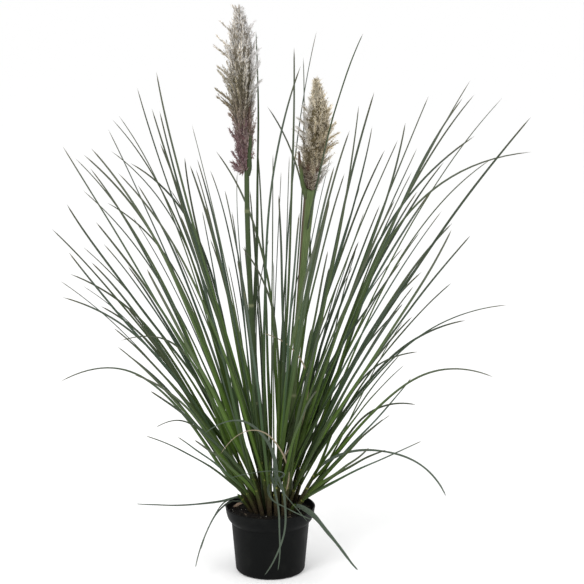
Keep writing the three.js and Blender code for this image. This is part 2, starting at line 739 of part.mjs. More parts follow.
function plannedTiller(row, index) {
  const name = `tiller_${String(index + 1).padStart(2, "0")}`;
  const [radius, degrees] = row.foot;
  const place = THREE.MathUtils.degToRad(degrees);
  const foot = point(radius * Math.cos(place), radius * Math.sin(place), SOIL_HEIGHT);
  foot.add(point(...CLUMP_CENTRE, 0));
  const middle = point(0, 0, 0);
  row.leaves.forEach(([x, y, z]) => middle.add(point(x, y, Math.max(z, 300))));
  middle.divideScalar(row.leaves.length).sub(foot);
  const azimuth = Math.atan2(middle.y, middle.x);
  const leavesLean = Math.atan2(Math.hypot(middle.x, middle.y), middle.z);
  const lean = row.lean ? THREE.MathUtils.degToRad(row.lean) : Math.min(SHEATH_LEAN * leavesLean, MOST_LEAN);
  const girth = spread(...SHEATH_GIRTH);
  const axis = sheathAxis(foot, azimuth, lean, row.sheath);
  const leaves = row.leaves.map(([x, y, z, droop, width, fold, bow]) => ({
    tip: [x, y, z],
    droop: THREE.MathUtils.degToRad(droop),
    width,
    fold: fold ? THREE.MathUtils.degToRad(fold) : 0,
    bow,
  }));
  while (leaves.length < (row.lean ? 0 : LEAVES_PER_TILLER)) {
    const { aside, droop, length, width } = INNER_LEAF;
    const way = heading(azimuth + spread(-aside, aside), lean * spread(...INNER_LEAF.lean));
    const tip = foot.clone().addScaledVector(way, spread(...length));
    leaves.push({ tip: tip.toArray(), droop: spread(0, droop), width: spread(...width) });
  }
  leaves.forEach((leaf, i) => {
    leaf.from = LOWEST_LEAF + ((HIGHEST_LEAF - LOWEST_LEAF) * (i + 1)) / leaves.length;
    const { side } = crossAxes(axis.getTangent(leaf.from), azimuth, 0);
    const aside = leaf.fold ? 0 : ROOT_ASIDE * girth * (1 - SHEATH_TAPER * leaf.from);
    leaf.offset = side.multiplyScalar(i % 2 ? aside : -aside);
    const share = leaf.fold ? FOLDED_TWIST : 1;
    leaf.twist = [share * (random() < 0.5 ? -1 : 1) * spread(...TWIST), share * spread(-TURN, TURN)];
  });
  return { name, azimuth, girth, axis, leaves };
}

// ---- Culms and plumes ----

// The value at t of rows that start with their place from 0 to 1.
function valueAt(rows, t, column = 1) {
  const next = Math.max(1, rows.findIndex((row) => row[0] >= t));
  const [low, high] = [rows[next - 1], rows[next]];
  return low[column] + ((high[column] - low[column]) * (t - low[0])) / (high[0] - low[0]);
}

const cubic = (points) => new THREE.CubicBezierCurve3(...points.map((p) => point(...p)));

// A culm's rings from its foot up. The second ring lies level in the soil's surface.
function culmRings(spec, grow) {
  const axis = cubic(spec.axis);
  const down = axis.getTangent(0).negate();
  const foot = axis.getPoint(0).addScaledVector(down, FOOT_DEPTH + grow);
  return [foot, ...axis.getPoints(CULM_STEPS)].map((centre, i) => {
    const t = Math.max(0, i - 1) / CULM_STEPS;
    const tangent = i === 1 ? UP : axis.getTangent(t);
    const halfWidth = valueAt(spec.girth, t) + grow;
    const halfDepth = valueAt(spec.girth, t, 2) + grow;
    return ovalRing(centre, tangent, FRONT, halfWidth, halfDepth, CULM_SIDES);
  });
}

// The stalk below a plume, which stands in the top of its culm.
function stalk(spec, plumeSpec, grow) {
  const end = point(...plumeSpec.axis[0]);
  const down = cubic(spec.axis).getTangent(1).negate();
  const foot = end.clone().addScaledVector(down, STALK_DEPTH + grow);
  const above = end.clone().addScaledVector(down, -STALK_SINK);
  const rings = [foot, above].map((centre) =>
    ovalRing(centre, down.clone().negate(), FRONT, spec.stalk + grow, spec.stalk + grow, CULM_SIDES));
  return loft(rings, CULM_SIDES);
}

// A flag leaf's midline, bowed as a whole.
function flagLeaf(spec) {
  const { from, tip, droop, width, bow } = spec.flag;
  const leaf = { from, tip, droop: THREE.MathUtils.degToRad(droop) };
  const { curve, azimuth } = midline({ axis: cubic(spec.axis) }, leaf, 0, 0);
  curve.v1.add(point(bow[0], bow[1], 0));
  curve.v2.add(point(bow[0], bow[1], 0));
  return { curve, azimuth, width };
}

function plumeBranch(root, tip, out, girth) {
  const along = tip.clone().sub(root).normalize();
  const azimuth = Math.atan2(out.y, out.x);
  return loft([ovalRing(root, along, azimuth, girth, FLATNESS * girth, 3), [tip]], 3);
}

// A plume: a core on its stalk, wound about with branches, and the strays.
function plume(spec, stalkSolid) {
  const axis = cubic(spec.axis);
  const coreRings = [];
  for (let i = 0; i <= CORE_STEPS; i++) {
    const t = i / CORE_STEPS;
    const radius = CORE_SHARE * valueAt(spec.outline, t);
    coreRings.push(ovalRing(axis.getPoint(t), axis.getTangent(t), 0, radius, radius, CORE_SIDES));
  }
  let solid = solidOf(loft(coreRings, CORE_SIDES)).add(stalkSolid);
  const rootOf = (t, out) => {
    const core = CORE_SHARE * valueAt(spec.outline, t);
    return axis.getPoint(t).addScaledVector(out, BRANCH_ROOT * core);
  };
  for (let i = 0; i < spec.branches; i++) {
    const t = BRANCHES_FROM + ((BRANCHES_TO - BRANCHES_FROM) * (i + 0.5)) / spec.branches;
    const angle = GOLDEN_ANGLE * i;
    const out = point(Math.cos(angle), Math.sin(angle), 0);
    const root = rootOf(t, out);
    const tilt = THREE.MathUtils.degToRad(spec.tilt * (1.1 - 0.5 * t));
    const ahead = valueAt(spec.outline, Math.min(1, t + 0.08)) - root.distanceTo(axis.getPoint(t));
    const length = Math.min(spec.length, ahead / Math.sin(tilt) + BRANCH_PAST) * spread(...BRANCH_LENGTH);
    const tip = root.clone().addScaledVector(out, length * Math.sin(tilt));
    tip.addScaledVector(axis.getTangent(t), length * Math.cos(tilt));
    solid = solid.add(solidOf(plumeBranch(root, tip, out, BRANCH_GIRTH)));
  }
  const bottom = spec.axis[0][2];
  const top = spec.axis[3][2];
  for (const [x, y, z] of spec.strays) {
    const height = (z - STRAY_SHARE * spec.length - bottom) / (top - bottom);
    const t = THREE.MathUtils.clamp(height, 0.03, 0.97);
    const centre = axis.getPoint(t);
    const out = point(x - centre.x, y - centre.y, 0).normalize();
    solid = solid.add(solidOf(plumeBranch(rootOf(t, out), point(x, y, z), out, STRAY_GIRTH)));
  }
  return meshOf(spec.name, solid, MATERIALS[spec.material]);
}

// ---- The whole plant ----

const tillers = TILLERS.map(plannedTiller);
for (const tiller of tillers) {
  const points = [0, 0.35, 0.7, 1].map((t) => tiller.axis.getPoint(t));
  stand(tiller.name, points, points.map(() => tiller.girth));
}
const rim = Array.from({ length: 25 }, (_, i) => {
  const angle = (i * Math.PI) / 12;
  return point((RIM_RADIUS - 1) * Math.cos(angle), (RIM_RADIUS - 1) * Math.sin(angle), POT_HEIGHT - 2);
});
stand("pot", rim, rim.map(() => 2.5));
CULMS.forEach((spec, i) => {
  const axis = cubic(spec.axis);
  const points = axis.getPoints(8);
  stand(spec.name, points, points.map((_, k) => valueAt(spec.girth, k / 8) + 0.5));
  const head = cubic(PLUMES[i].axis).getPoints(8);
  stand(PLUMES[i].name, head, head.map((_, k) => BRANCH_PAST + valueAt(PLUMES[i].outline, k / 8)));
});

const plant = new THREE.Group();
const stems = [
  ...tillers.map((tiller) => sheathRings(tiller, CLEARANCE)),
  ...CULMS.map((spec) => culmRings(spec, CLEARANCE)),
];
const holes = stems.map((rings) => solidOf(loft(rings.slice(0, 2), rings[0].length)));

plant.add(pot());
plant.add(soil(holes));
plant.add(deadLeaf());
CULMS.forEach((spec, i) => {
  const { curve, azimuth, width } = flagLeaf(spec);
  const points = curve.getPoints(FLAG_STEPS);
  const halfWidths = points.map((_, k) => bladeWidth(width, k / FLAG_STEPS) / 2);
  stand(spec.name, points, halfWidths);
  const leaf = solidOf(blade(curve, azimuth, width, [0.6, 0.5], FLAG_STEPS));
  const socket = solidOf(stalk(spec, PLUMES[i], CLEARANCE));
  const stem = solidOf(loft(culmRings(spec, 0), CULM_SIDES));
  plant.add(meshOf(spec.name, stem.add(leaf).subtract(socket), MATERIALS.culm));
  plant.add(plume(PLUMES[i], solidOf(stalk(spec, PLUMES[i], 0))));
});
for (const tiller of tillers) {
  let solid = solidOf(loft(sheathRings(tiller, 0), SHEATH_SIDES));
  tiller.leaves.forEach((leaf) => {
    const laid = laidLeaf(tiller, leaf);
    if (laid) {
      solid = solid.add(solidOf(laid));
    }
  });
  plant.add(meshOf(tiller.name, solid, MATERIALS.leaf));
}

export default plant;
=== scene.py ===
"""Young pampas grass in a black nursery pot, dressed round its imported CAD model.

Everything is worked out in millimetres, +Z up and -Y to the front, and scaled to metres as it becomes a mesh.
"""

import math
from functools import lru_cache

import bpy
import numpy as np
from mathutils import Matrix, Vector, noise


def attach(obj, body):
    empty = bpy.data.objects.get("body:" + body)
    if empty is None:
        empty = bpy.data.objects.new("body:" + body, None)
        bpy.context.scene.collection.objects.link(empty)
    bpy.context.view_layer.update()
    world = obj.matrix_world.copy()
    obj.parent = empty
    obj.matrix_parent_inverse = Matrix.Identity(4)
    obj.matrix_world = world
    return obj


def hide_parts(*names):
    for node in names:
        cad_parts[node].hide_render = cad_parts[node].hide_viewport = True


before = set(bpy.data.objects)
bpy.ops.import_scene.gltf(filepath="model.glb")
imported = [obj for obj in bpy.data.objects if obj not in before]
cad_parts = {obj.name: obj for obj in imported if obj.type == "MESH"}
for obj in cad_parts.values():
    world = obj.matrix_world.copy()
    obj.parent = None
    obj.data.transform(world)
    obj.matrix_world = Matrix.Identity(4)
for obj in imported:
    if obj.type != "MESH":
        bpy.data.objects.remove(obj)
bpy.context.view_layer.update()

MM = 0.001

# ---- What the CAD source fixes ----

POT_HEIGHT = 141
RIM_RADIUS = 95
COLLAR_HEIGHT = 34
COLLAR_STEP = 0.7
COLLAR_INSET = 5.5  # the collar's flare, and how far down from the rim it starts
COLLAR_DROP = 25
BODY_TOP_RADIUS = 82.3
BODY_BOTTOM_RADIUS = 73.5
BOTTOM_EDGE_RADIUS = 7.5
WALL = 1.8
DRAIN_HOLES = 6
DRAIN_RADIUS = 5
DRAIN_CIRCLE = 44
SOIL_HEIGHT = 128
FOOT_DEPTH = 15
CLUMP_CENTRE = (6, 16, 0)
DEAD_LEAF = {"radius": 79, "from": 128, "to": 166, "width": 11, "height": 129.1}

BLADE_STEPS = 4
ARCHED_BLADE_STEPS = 8
ARCHED_DROOP = math.radians(15)
TAPER = 0.3
ROOT_SHARE = 0.4
FULL_WIDTH_AT = 0.2
ROOT_HANDLE = 0.3
TIP_HANDLE = 0.28
DROOP_HANDLE = 0.2
FOLLOW = 0.6
SHEATH_LEAN = 0.7
FOOT_LEAN = 0.8
MOST_LEAN = 0.75
BLADE_GAP = 1.6
BOW_STEP = 7
TIP_STEP = 9
BOWS = 11
TRIALS = 66
LEAVES_PER_TILLER = 4
LOWEST_LEAF = 0.3
HIGHEST_LEAF = 0.9
ROOT_ASIDE = 0.6
TWIST = (0.5, 1.3)
TURN = 0.8
FOLDED_TWIST = 0.3
INNER_ASIDE = 0.6
INNER_LEAN = (0.5, 1.15)
INNER_LENGTH = (380, 700)
INNER_DROOP = 0.25
INNER_WIDTH = (7, 8.5)
LOWEST_AIM = 300  # a tiller's lean takes no leaf's tip to be lower than this
SHEATH_GIRTH = (5, 6)
SHEATH_TAPER = 0.4
FLATNESS = 0.8
FOOT_SHARE = 0.8
FLAG_STEPS = 7
FLAG_TWIST = (0.6, 0.5)
STAND_STEPS = 8
BRANCH_PAST = 6
STRAY_SHARE = 1.3
GOLDEN_ANGLE = 2.39996

# A row per tiller: its foot's radius and azimuth, its sheath's length and its leaves. A few have their own
# lean, which also means that no inner leaves are added, and one has its leaves turned by an angle as drawn.
# Per leaf: the tip, droop, width and, where it breaks away, the angle at which it sets out and its bow.
TILLERS = [
    # The outermost ring, from the right and round by the back.
    (50, 8, 75, [(299, 60, 403, -6, 8), (308, 30, 352, 52, 7), (255, 60, 322, 10, 7),
        (280, 60, 526, 8, 8)], 42),
    (49, 27, 105, [(386, 110, 599, 14, 8), (285, 152, 545, 10, 7.5), (305, 135, 520, 12, 7.5),
        (182, 120, 668, 8, 8)]),
    (48, 45, 110, [(392, 180, 717, 15, 8), (320, 230, 780, 14, 7.5), (261, 240, 681, 8, 8),
        (304, 190, 827, 8, 7.5)]),
    (49, 63, 105, [(208, 330, 720, 8, 7.5), (194, 260, 665, 8, 8), (-6, 120, 973, 44, 7),
        (232, 120, 765, 5, 8)]),
    (47, 81, 110, [(196, 280, 783, 6, 8), (40, 300, 850, 9, 7.5), (98, 230, 804, 6, 8),
        (248, 240, 869, 10, 7.5)]),
    (49, 99, 100, [(-40, 300, 700, 10, 7.5), (-30, 330, 520, 26, 7.5), (-101, 240, 781, 8, 7.5),
        (-45, 200, 786, 6, 7.5)]),
    (48, 117, 110, [(-137, 330, 814, 26, 7.5), (-163, 280, 845, 12, 8)]),
    (49, 135, 105, [(-309, 260, 838, 44, 7.5), (-222, 250, 782, 28, 8), (-291, 240, 792, 14, 7.5),
        (-304, 250, 720, 12, 7.5)]),
    (47, 153, 105, [(-357, 220, 756, 38, 8), (-387, 180, 836, 13, 8), (-363, 190, 670, 12, 8),
        (-306, 140, 630, 8, 8)]),
    (49, 171, 100, [(-419, 60, 627, 32, 7.5), (-399, 110, 592, 22, 7.5), (-366, 140, 542, 26, 7.5),
        (-377, 80, 649, 12, 7.5)]),
    (49, 189, 90, [(-425, -90, 432, 62, 7.5), (-296, -30, 476, 16, 8), (-236, -60, 327, 65, 7),
        (-292, -20, 570, 10, 8)]),
    (51, 207, 55, [(-155, -80, 32, 8, 8, 55), (-144, -70, 68, -5, 6, 62, -30),
        (-274, -100, 177, -8, 8, 105)], 40),
    (48, 225, 90, [(-248, -140, 333, 12, 7), (-181, -170, 339, 3, 7), (-270, -120, 454, 27, 7.5),
        (-303, -120, 512, 10, 7.5)]),
    (49, 243, 100, [(-150, -140, 324, 7, 7), (-240, -110, 418, 11, 7.5), (-125, -190, 560, 8, 8),
        (-169, -200, 790, 8, 8)]),
    (48, 261, 130, [(-48, -180, 640, 4, 8), (86, -155, 161, 20, 7, 115, -50), (17, -140, 47, 52, 7, 100, 40),
        (-10, -190, 56, 80, 7, 130, 70)], 12),
    (49, 279, 110, [(10, -200, 700, 6, 8), (-128, -190, 352, 68, 8, 5, 30), (-79, -170, 254, 40, 7, 32, 40),
        (78, -175, 163, 45, 5, 52, -30)], 12),
    (48, 297, 105, [(-97, -190, 308, 88, 4, -20, 30), (110, -220, 600, 8, 8), (95, -190, 440, 18, 7.5),
        (198, -240, 728, 6, 8)], 8),
    (50, 315, 30, [(180, -160, 56, 0, 11, 80)], 35, 0.5),
    (49, 333, 75, [(313, -60, 299, 1, 7.5), (240, -55, 278, 12, 7.5), (202, -110, 299, -8, 7),
        (233, -90, 354, 8, 7)], 42),
    (49, 351, 130, [(305, -40, 483, 45, 7.5), (470, 30, 412, 54, 7.5), (262, -100, 489, 8, 7.5),
        (372, 0, 159, 56, 9, 38), (275, -60, 460, 10, 7.5)]),
    # The second ring. Its place at azimuth 0 is culm_2's.
    (33, 26, 120, [(497, 40, 565, 37, 7.5), (420, 130, 513, 36, 7.5), (468, 140, 860, 26, 7.5),
        (397, 60, 995, 14, 7.5)]),
    (34, 51, 130, [(438, 210, 992, 15, 7.5), (488, 130, 991, 16, 7.5), (286, 190, 660, 12, 8),
        (321, 160, 701, 10, 8), (369, 150, 853, 12, 7.5)]),
    (33, 77, 135, [(218, 200, 924, -10, 7.5), (160, 215, 821, 8, 8), (-114, 120, 879, 28, 7)]),
    (34, 103, 130, [(5, 190, 866, 2, 7.5), (22, 260, 820, 6, 7.5), (-26, 120, 881, 4, 7)]),
    (33, 129, 130, [(-182, 150, 863, -8, 7.5), (-238, 200, 888, 10, 7.5), (-153, 60, 848, 6, 7.5)]),
    (34, 154, 125, [(-334, 280, 940, 21, 7.5), (-337, 170, 942, 24, 7.5), (-344, 200, 871, 34, 7.5)]),
    (33, 180, 120, [(-446, 0, 732, 9, 7.5), (-403, 60, 871, 19, 7.5), (-388, 40, 688, 15, 7.5),
        (-415, 20, 680, -3, 7)]),
    (34, 206, 115, [(-423, -60, 635, 15, 7.5), (-411, -120, 613, 30, 7), (-311, -110, 548, 10, 7.5),
        (-298, -120, 524, 62, 7)]),
    (33, 231, 130, [(-398, -150, 917, 2, 7.5), (-355, -200, 838, 19, 8), (-231, -240, 692, 0, 9),
        (-347, -120, 910, 16, 7.5)]),
    (34, 257, 135, [(-215, -260, 999, -1, 7.5), (-276, -300, 883, 19, 7.5), (-60, -190, 700, 15, 7.5),
        (-119, -240, 815, 8, 8)]),
    (33, 283, 135, [(153, -280, 960, 13, 7.5), (60, -240, 800, 8, 8), (117, -260, 827, 6, 8),
        (-14, -30, 520, 64, 5, -38, -60)]),
    (34, 309, 130, [(203, -180, 1024, 6, 7.5), (389, -150, 1044, 8, 7.5), (171, -240, 1003, -8, 7),
        (262, -180, 610, 10, 8)]),
    (33, 334, 120, [(288, -120, 636, 8, 8), (306, -90, 659, 18, 7.5), (367, -60, 740, -6, 8),
        (410, -20, 722, 6, 7.5), (530, -20, 892, 50, 7.5), (326, -40, 695, 10, 8)]),
    # The third ring. Its place at azimuth 205 is culm_1's.
    (18, 34, 150, [(430, 120, 911, 29, 7.5), (330, 100, 996, 3, 7.5), (335, 40, 807, 10, 8),
        (281, 80, 943, -10, 7.5)]),
    (19, 75, 160, [(70, 200, 1071, -9, 7.5), (98, 160, 1127, 10, 7.5), (128, 140, 867, 8, 7.5)]),
    (18, 116, 160, [(-235, 100, 1046, -5, 7.5), (-232, 130, 962, -3, 7.5), (-210, 110, 690, 6, 8)]),
    (19, 159, 150, [(-325, -10, 937, 4, 7.5), (-374, -20, 886, 22, 7.5), (-414, 0, 783, -4, 7.5),
        (-360, 40, 740, 8, 8)]),
    (18, 247, 155, [(-146, -170, 961, 5, 7.5), (-250, -170, 1032, -4, 7.5), (63, -110, 1069, 24, 7),
        (-63, -60, 858, -10, 7), (-154, -120, 877, 6, 7.5)]),
    (19, 292, 155, [(128, -160, 880, 8, 8), (100, -200, 760, 5, 8), (-59, -60, 706, 30, 7),
        (165, -160, 683, 8, 8)]),
    (18, 335, 150, [(519, -70, 967, 7, 7.5), (340, -130, 788, 8, 8), (245, -170, 815, 6, 8)]),
    # The middle pair.
    (6, 60, 165, [(303, 40, 894, 3, 7.5)]),
    (6, 285, 165, [(50, -110, 1105, -9, 7.5), (20, -130, 820, 4, 7.5), (263, -100, 681, 6, 8),
        (254, -100, 924, 4, 7.5)]),
]

CULMS = [
    {
        "name": "culm_1",
        "axis": [(-10, 8, SOIL_HEIGHT), (-24, -8, 370), (-47, -3, 600), (-46, 0, 856)],
        "girth": [(0, 6.5, 5.5), (0.2, 6, 5), (0.45, 5.5, 4.8), (0.8, 5.2, 4.6), (1, 5, 4.4)],
        "flag": {"from": 0.5, "tip": (-27, 36, 1131), "droop": -2, "width": 6, "bow": (10, 10)},
        "joints": [0.12, 0.33, 0.62, 0.885],
        "lip": [(-42, -3, 842), (-38, -12, 880), (-40, -15, 925), (-39, -15, 985)],
        "purple": 0,
    },
    {
        "name": "culm_2",
        "axis": [(39, 16, SOIL_HEIGHT), (42, 2, 360), (62, 0, 600), (83, 0, 814)],
        "girth": [
            (0, 7, 6), (0.35, 6.4, 5.6), (0.65, 6.4, 5.6), (0.78, 8.2, 6), (0.88, 10, 6.6), (1, 11.5, 7),
        ],
        "flag": {"from": 0.86, "tip": (185, -75, 1130), "droop": 12, "width": 6, "bow": (0, -45)},
        "joints": [0.14, 0.36, 0.6],
        "lip": [(75, -4, 795), (66, -12, 830), (62, -20, 860), (60, -21, 895)],
        "purple": 1,
    },
]

PLUMES = [
    {
        "name": "plume_1",
        "axis": [(-49, 0, 858), (-54, 0, 950), (-54, 0, 1080), (-60, 0, 1176)],
        "outline": [
            (0, 7), (0.07, 18), (0.2, 22), (0.34, 27), (0.48, 33), (0.6, 37),
            (0.72, 37), (0.8, 33), (0.87, 24), (0.94, 15), (1, 6),
        ],
        "length": 50,
        "strays": [
            (-74, -4, 1184), (-95, -8, 1150), (-104, 6, 1120), (-108, -6, 1102), (-101, -10, 1062),
            (-100, 10, 1050), (-106, 0, 1016), (-104, -8, 1004), (-79, -16, 968), (-80, 6, 932),
            (-75, 4, 888), (-77, -8, 872), (-74, 8, 860), (-70, -11, 884), (-72, 0, 866), (-69, -10, 856),
            (-30, 4, 1150), (-28, -8, 1130), (-22, 4, 1096), (-20, -6, 1068), (-17, 4, 1034),
        ],
        "branches": 300,
        "fleece": 1500,
        "spread": (0.3, 0.75),
        "apart": 2.9,
        "spikelet": 10,
        "hair": 11,
        "curl": 1.5,
        "bushy": 1.4,
        "hair_rings": [(0, 1), (1, 0)],
        "slot": "silver_plume",
    },
    {
        "name": "plume_2",
        "axis": [(84, 0, 818), (88, 0, 880), (105, 0, 960), (95, 0, 1034)],
        "outline": [
            (0, 14), (0.08, 23), (0.2, 30), (0.32, 36), (0.46, 40), (0.6, 38),
            (0.7, 33), (0.78, 26), (0.86, 18), (0.93, 12), (1, 6),
        ],
        "length": 34,
        "strays": [
            (67, -6, 984), (55, 4, 962), (53, -8, 942), (60, 6, 902), (60, -6, 866), (134, 4, 948),
            (140, -4, 928), (138, 6, 910), (118, -4, 876), (120, 4, 852), (124, -10, 980),
        ],
        "branches": 230,
        "fleece": 1000,
        "spread": (0.5, 1.0),
        "apart": 2.4,
        "spikelet": 7.5,
        "hair": 9,
        "curl": 4.5,
        "bushy": 1.15,
        "hair_rings": [(0, 1), (0.55, 0.9), (1, 0)],
        "slot": "golden_plume",
    },
]

# ---- What this script adds ----

POT_SIDES = 128
# In and down from the rim, from below the collar's flare.
COLLAR_CURVE = [(7.4, 28), (COLLAR_INSET, COLLAR_DROP), (3.5, 20), (2, 14), (1, 7), (0.4, 3.6)]
LIP_RADIUS = 1.6
DRAIN_TURN = 0.04  # keeps a drain hole's corners off those of the pot
SOIL_SIDES = 144
SOIL_RINGS = 52
SOIL_GAP = 0.3
SOIL_SWELLS = [(1.1, 0.05, 3.1), (1.0, 0.16, 7.7), (0.5, 0.5, 1.3)]  # height, scale and a place in the noise
# Crumbs, bark chips and grit: how many, their sizes, and their breadths as shares of those.
CRUMBS = [(620, (0.9, 2.6), (0.6, 1.0)), (150, (2.5, 5.5), (0.25, 0.6)), (36, (0.7, 1.5), (0.7, 1.0))]
BED_MARGIN = 2.5
BLADE_RINGS = 40
SHEATH_SIDES = 14
SHEATH_RINGS = 26
CULM_SIDES = 24
CULM_RINGS = 90
BLADE_THICKNESS = 0.4
MIDRIB = 0.5
FOLD_DEPTH = 0.55  # how deep a blade is folded, as a share of its half-width
ROOT_FOLD = 0.5  # and how much deeper at its root
SHOULDER = 0.42  # how much of that depth is reached halfway to the midrib
SWAY = 0.9
RUFFLE = 0.06
SHEATH_STEP = 0.55  # how much a sheath narrows above the last of its leaves
LEAF_MARKS = (-0.02, -0.002, 0.012)  # a sheath's rings round a leaf's root, as shares of the sheath
COLLAR_MARK = 0.013  # half the length of the pale mark there
SHOWN_ROOT_SHARE = 0.7  # a blade's width at its root as drawn, as a share of its full width
SHOWN_FULL_AT = 0.12
SHOWN_TAPER = 0.23
SLIM = 0.86
BELLY = 0.27  # how much a blade swells
BELLY_AT = 0.2
BELLY_LENGTH = 0.16
BROAD_FROM = 8.5  # a blade wider than this is drawn broader still
SLENDER = 0.75  # how slender a blade below this width is drawn where it breaks away from its sheath
SLENDER_BELOW = 8
FACING_DROOP = math.radians(25)  # a blade that droops more and points this far sideways shows its face
FACING_SIDE = 0.6
FACING_TWIST = 0.95
FACING_TURN = 0.4
FLAG_BREADTH = 1.35  # how much broader a flag leaf is drawn
JOINT_SWELL = 0.5  # how far a culm's joints stand out
JOINT_LENGTH = 0.006  # as shares of the culm, like the bloom's
BLOOM_LENGTH = 0.004
INSIDE = 0.55  # the lumpy inside of a plume, as a share of its outline
CORE_SIDES = 16
CORE_FROM = -0.018  # it starts this far below the plume, as a share of the plume's height
STALK_FROM = -0.09
STALK_GIRTH = 2.2
STRANDS = 3  # branches in a stray, and how far apart their roots and their tips are
STRAND_STEP = 0.5
STRAND_SPREAD = 1.3
LIP_WIDTH = 9  # a culm's sheath ends in a lip beside the plume
DEAD_LEAF_ROWS = 28
DEAD_LEAF_COLUMNS = 7

LENS = 100.42
CAMERA_PLACE = (0.046, -3.3, 1.24)
CAMERA_DOWN = 10.97

# ---- Curves and numbers ----


class Seeded:
    """A repeatable stream of numbers from 0 to 1, the same as the CAD source's."""

    def __init__(self, seed):
        self.state = seed

    def __call__(self):
        self.state = (self.state + 0x6D2B79F5) & 0xFFFFFFFF
        mixed = ((self.state ^ (self.state >> 15)) * (1 | self.state)) & 0xFFFFFFFF
        product = ((mixed ^ (mixed >> 7)) * (61 | mixed)) & 0xFFFFFFFF
        mixed = ((mixed + product) & 0xFFFFFFFF) ^ mixed
        return (mixed ^ (mixed >> 14)) / 4294967296

    def spread(self, low, high):
        return low + (high - low) * self()


def unit(vectors):
    return vectors / np.linalg.norm(vectors, axis=-1, keepdims=True)


def heading(azimuth, lean):
    """The unit vector at this azimuth that leans this far from the vertical."""
    flat = math.sin(lean)
    return np.array([flat * math.cos(azimuth), flat * math.sin(azimuth), math.cos(lean)])


class Bezier:
    """A quadratic or cubic Bezier curve."""

    def __init__(self, controls):
        self.controls = np.array(controls, float)

    def points(self, t):
        t = np.atleast_1d(np.asarray(t, float))[:, None]
        left = 1 - t
        c = self.controls
        if len(c) == 3:
            return left**2 * c[0] + 2 * left * t * c[1] + t**2 * c[2]
        return left**3 * c[0] + 3 * left**2 * t * c[1] + 3 * left * t**2 * c[2] + t**3 * c[3]

    def tangents(self, t):
        t = np.atleast_1d(np.asarray(t, float))
        return unit(self.points(np.minimum(t + 1e-4, 1)) - self.points(np.maximum(t - 1e-4, 0)))


def cross_axes(tangents, azimuth, twists):
    """Across and above along a line that grows away at this azimuth, turned by the twists."""
    flat = np.array([-math.sin(azimuth), math.cos(azimuth), 0.0])
    side = unit(flat - tangents * (tangents @ flat)[:, None])
    above = np.cross(tangents, side)
    twists = np.broadcast_to(np.asarray(twists, float), len(tangents))[:, None]
    turned = side * np.cos(twists) + above * np.sin(twists)
    return turned, np.cross(tangents, turned)


def value_at(rows, t, column=1):
    return np.interp(t, [row[0] for row in rows], [row[column] for row in rows])


def around(sides):
    """Angles all the way round."""
    return 2 * math.pi * np.arange(sides) / sides


# ---- Where each leaf lies, by the CAD source's rule ----

drawn = Seeded(7)
standing = []  # what stands there: rows of its owner, a line's start and end, and its half-width


def stand(owner, points, half_widths):
    standing.extend((owner, *row) for row in zip(points[:-1], points[1:], half_widths[:-1]))


def room(owner, points, half_widths):
    """How far this line keeps from everything that other pieces own, less both half-widths."""
    _, starts, ends, widths = zip(*(row for row in standing if row[0] != owner))
    p2 = np.array(starts)[None]
    d2 = np.array(ends)[None] - p2
    p1 = points[:-1, None]
    d1 = points[1:, None] - p1
    r = p1 - p2
    a, b, e = (d1 * d1).sum(-1), (d1 * d2).sum(-1), (d2 * d2).sum(-1)
    c, f = (d1 * r).sum(-1), (d2 * r).sum(-1)
    spread = a * e - b * b
    s = np.where(spread > 1e-9, np.clip((b * f - c * e) / np.maximum(spread, 1e-9), 0, 1), 0)
    t = np.clip((b * s + f) / e, 0, 1)
    s = np.clip((b * t - c) / a, 0, 1)
    gap = np.linalg.norm(r + d1 * s[..., None] - d2 * t[..., None], axis=-1)
    return (gap - np.asarray(half_widths)[:-1, None] - np.array(widths)).min()


def blade_width(width, t):
    opened = np.minimum(1, ROOT_SHARE + (1 - ROOT_SHARE) * t / FULL_WIDTH_AT)
    return width * opened * (1 - t) ** TAPER


def shown_width(width, t):
    """A blade's width as drawn: it opens sooner above its sheath than the CAD's and swells low down."""
    opened = np.minimum(1, SHOWN_ROOT_SHARE + (1 - SHOWN_ROOT_SHARE) * t / SHOWN_FULL_AT)
    belly = 1 + BELLY * np.exp(-(((t - BELLY_AT) / BELLY_LENGTH) ** 2))
    broad = SLIM * max(1, width / BROAD_FROM)
    return broad * width * opened * belly * (1 - t) ** SHOWN_TAPER


def midline(axis, leaf, aside, shift):
    """A leaf's midline from its sheath, bowed by aside, with its tip moved by shift, and its azimuth."""
    root = axis.points(leaf["from"])[0] + leaf["offset"]
    tip = np.array(leaf["tip"], float)
    azimuth = math.atan2(tip[1] - root[1], tip[0] - root[0])
    across = np.array([-math.sin(azimuth), math.cos(azimuth), 0.0])
    tip = tip + across * shift
    chord = tip - root
    reach = np.linalg.norm(chord)
    rise = math.atan2(chord[2], math.hypot(chord[0], chord[1]))
    end = heading(azimuth, math.pi / 2 - rise + leaf["droop"])
    along = axis.tangents(leaf["from"])[0]
    start = unit(along + (unit(chord) - along) * FOLLOW)
    if leaf["fold"]:
        start = heading(azimuth, leaf["fold"])
    bow = aside + leaf["bow"]
    first = root + start * ROOT_HANDLE * reach + across * bow
    handle = TIP_HANDLE + DROOP_HANDLE * max(0, leaf["droop"])
    second = tip - end * handle * reach + across * bow
    return Bezier([root, first, second, tip]), azimuth


def nth_step(n):
    """0, 1, -1, 2, -2 and so on."""
    return math.ceil(n / 2) * (1 if n % 2 else -1)


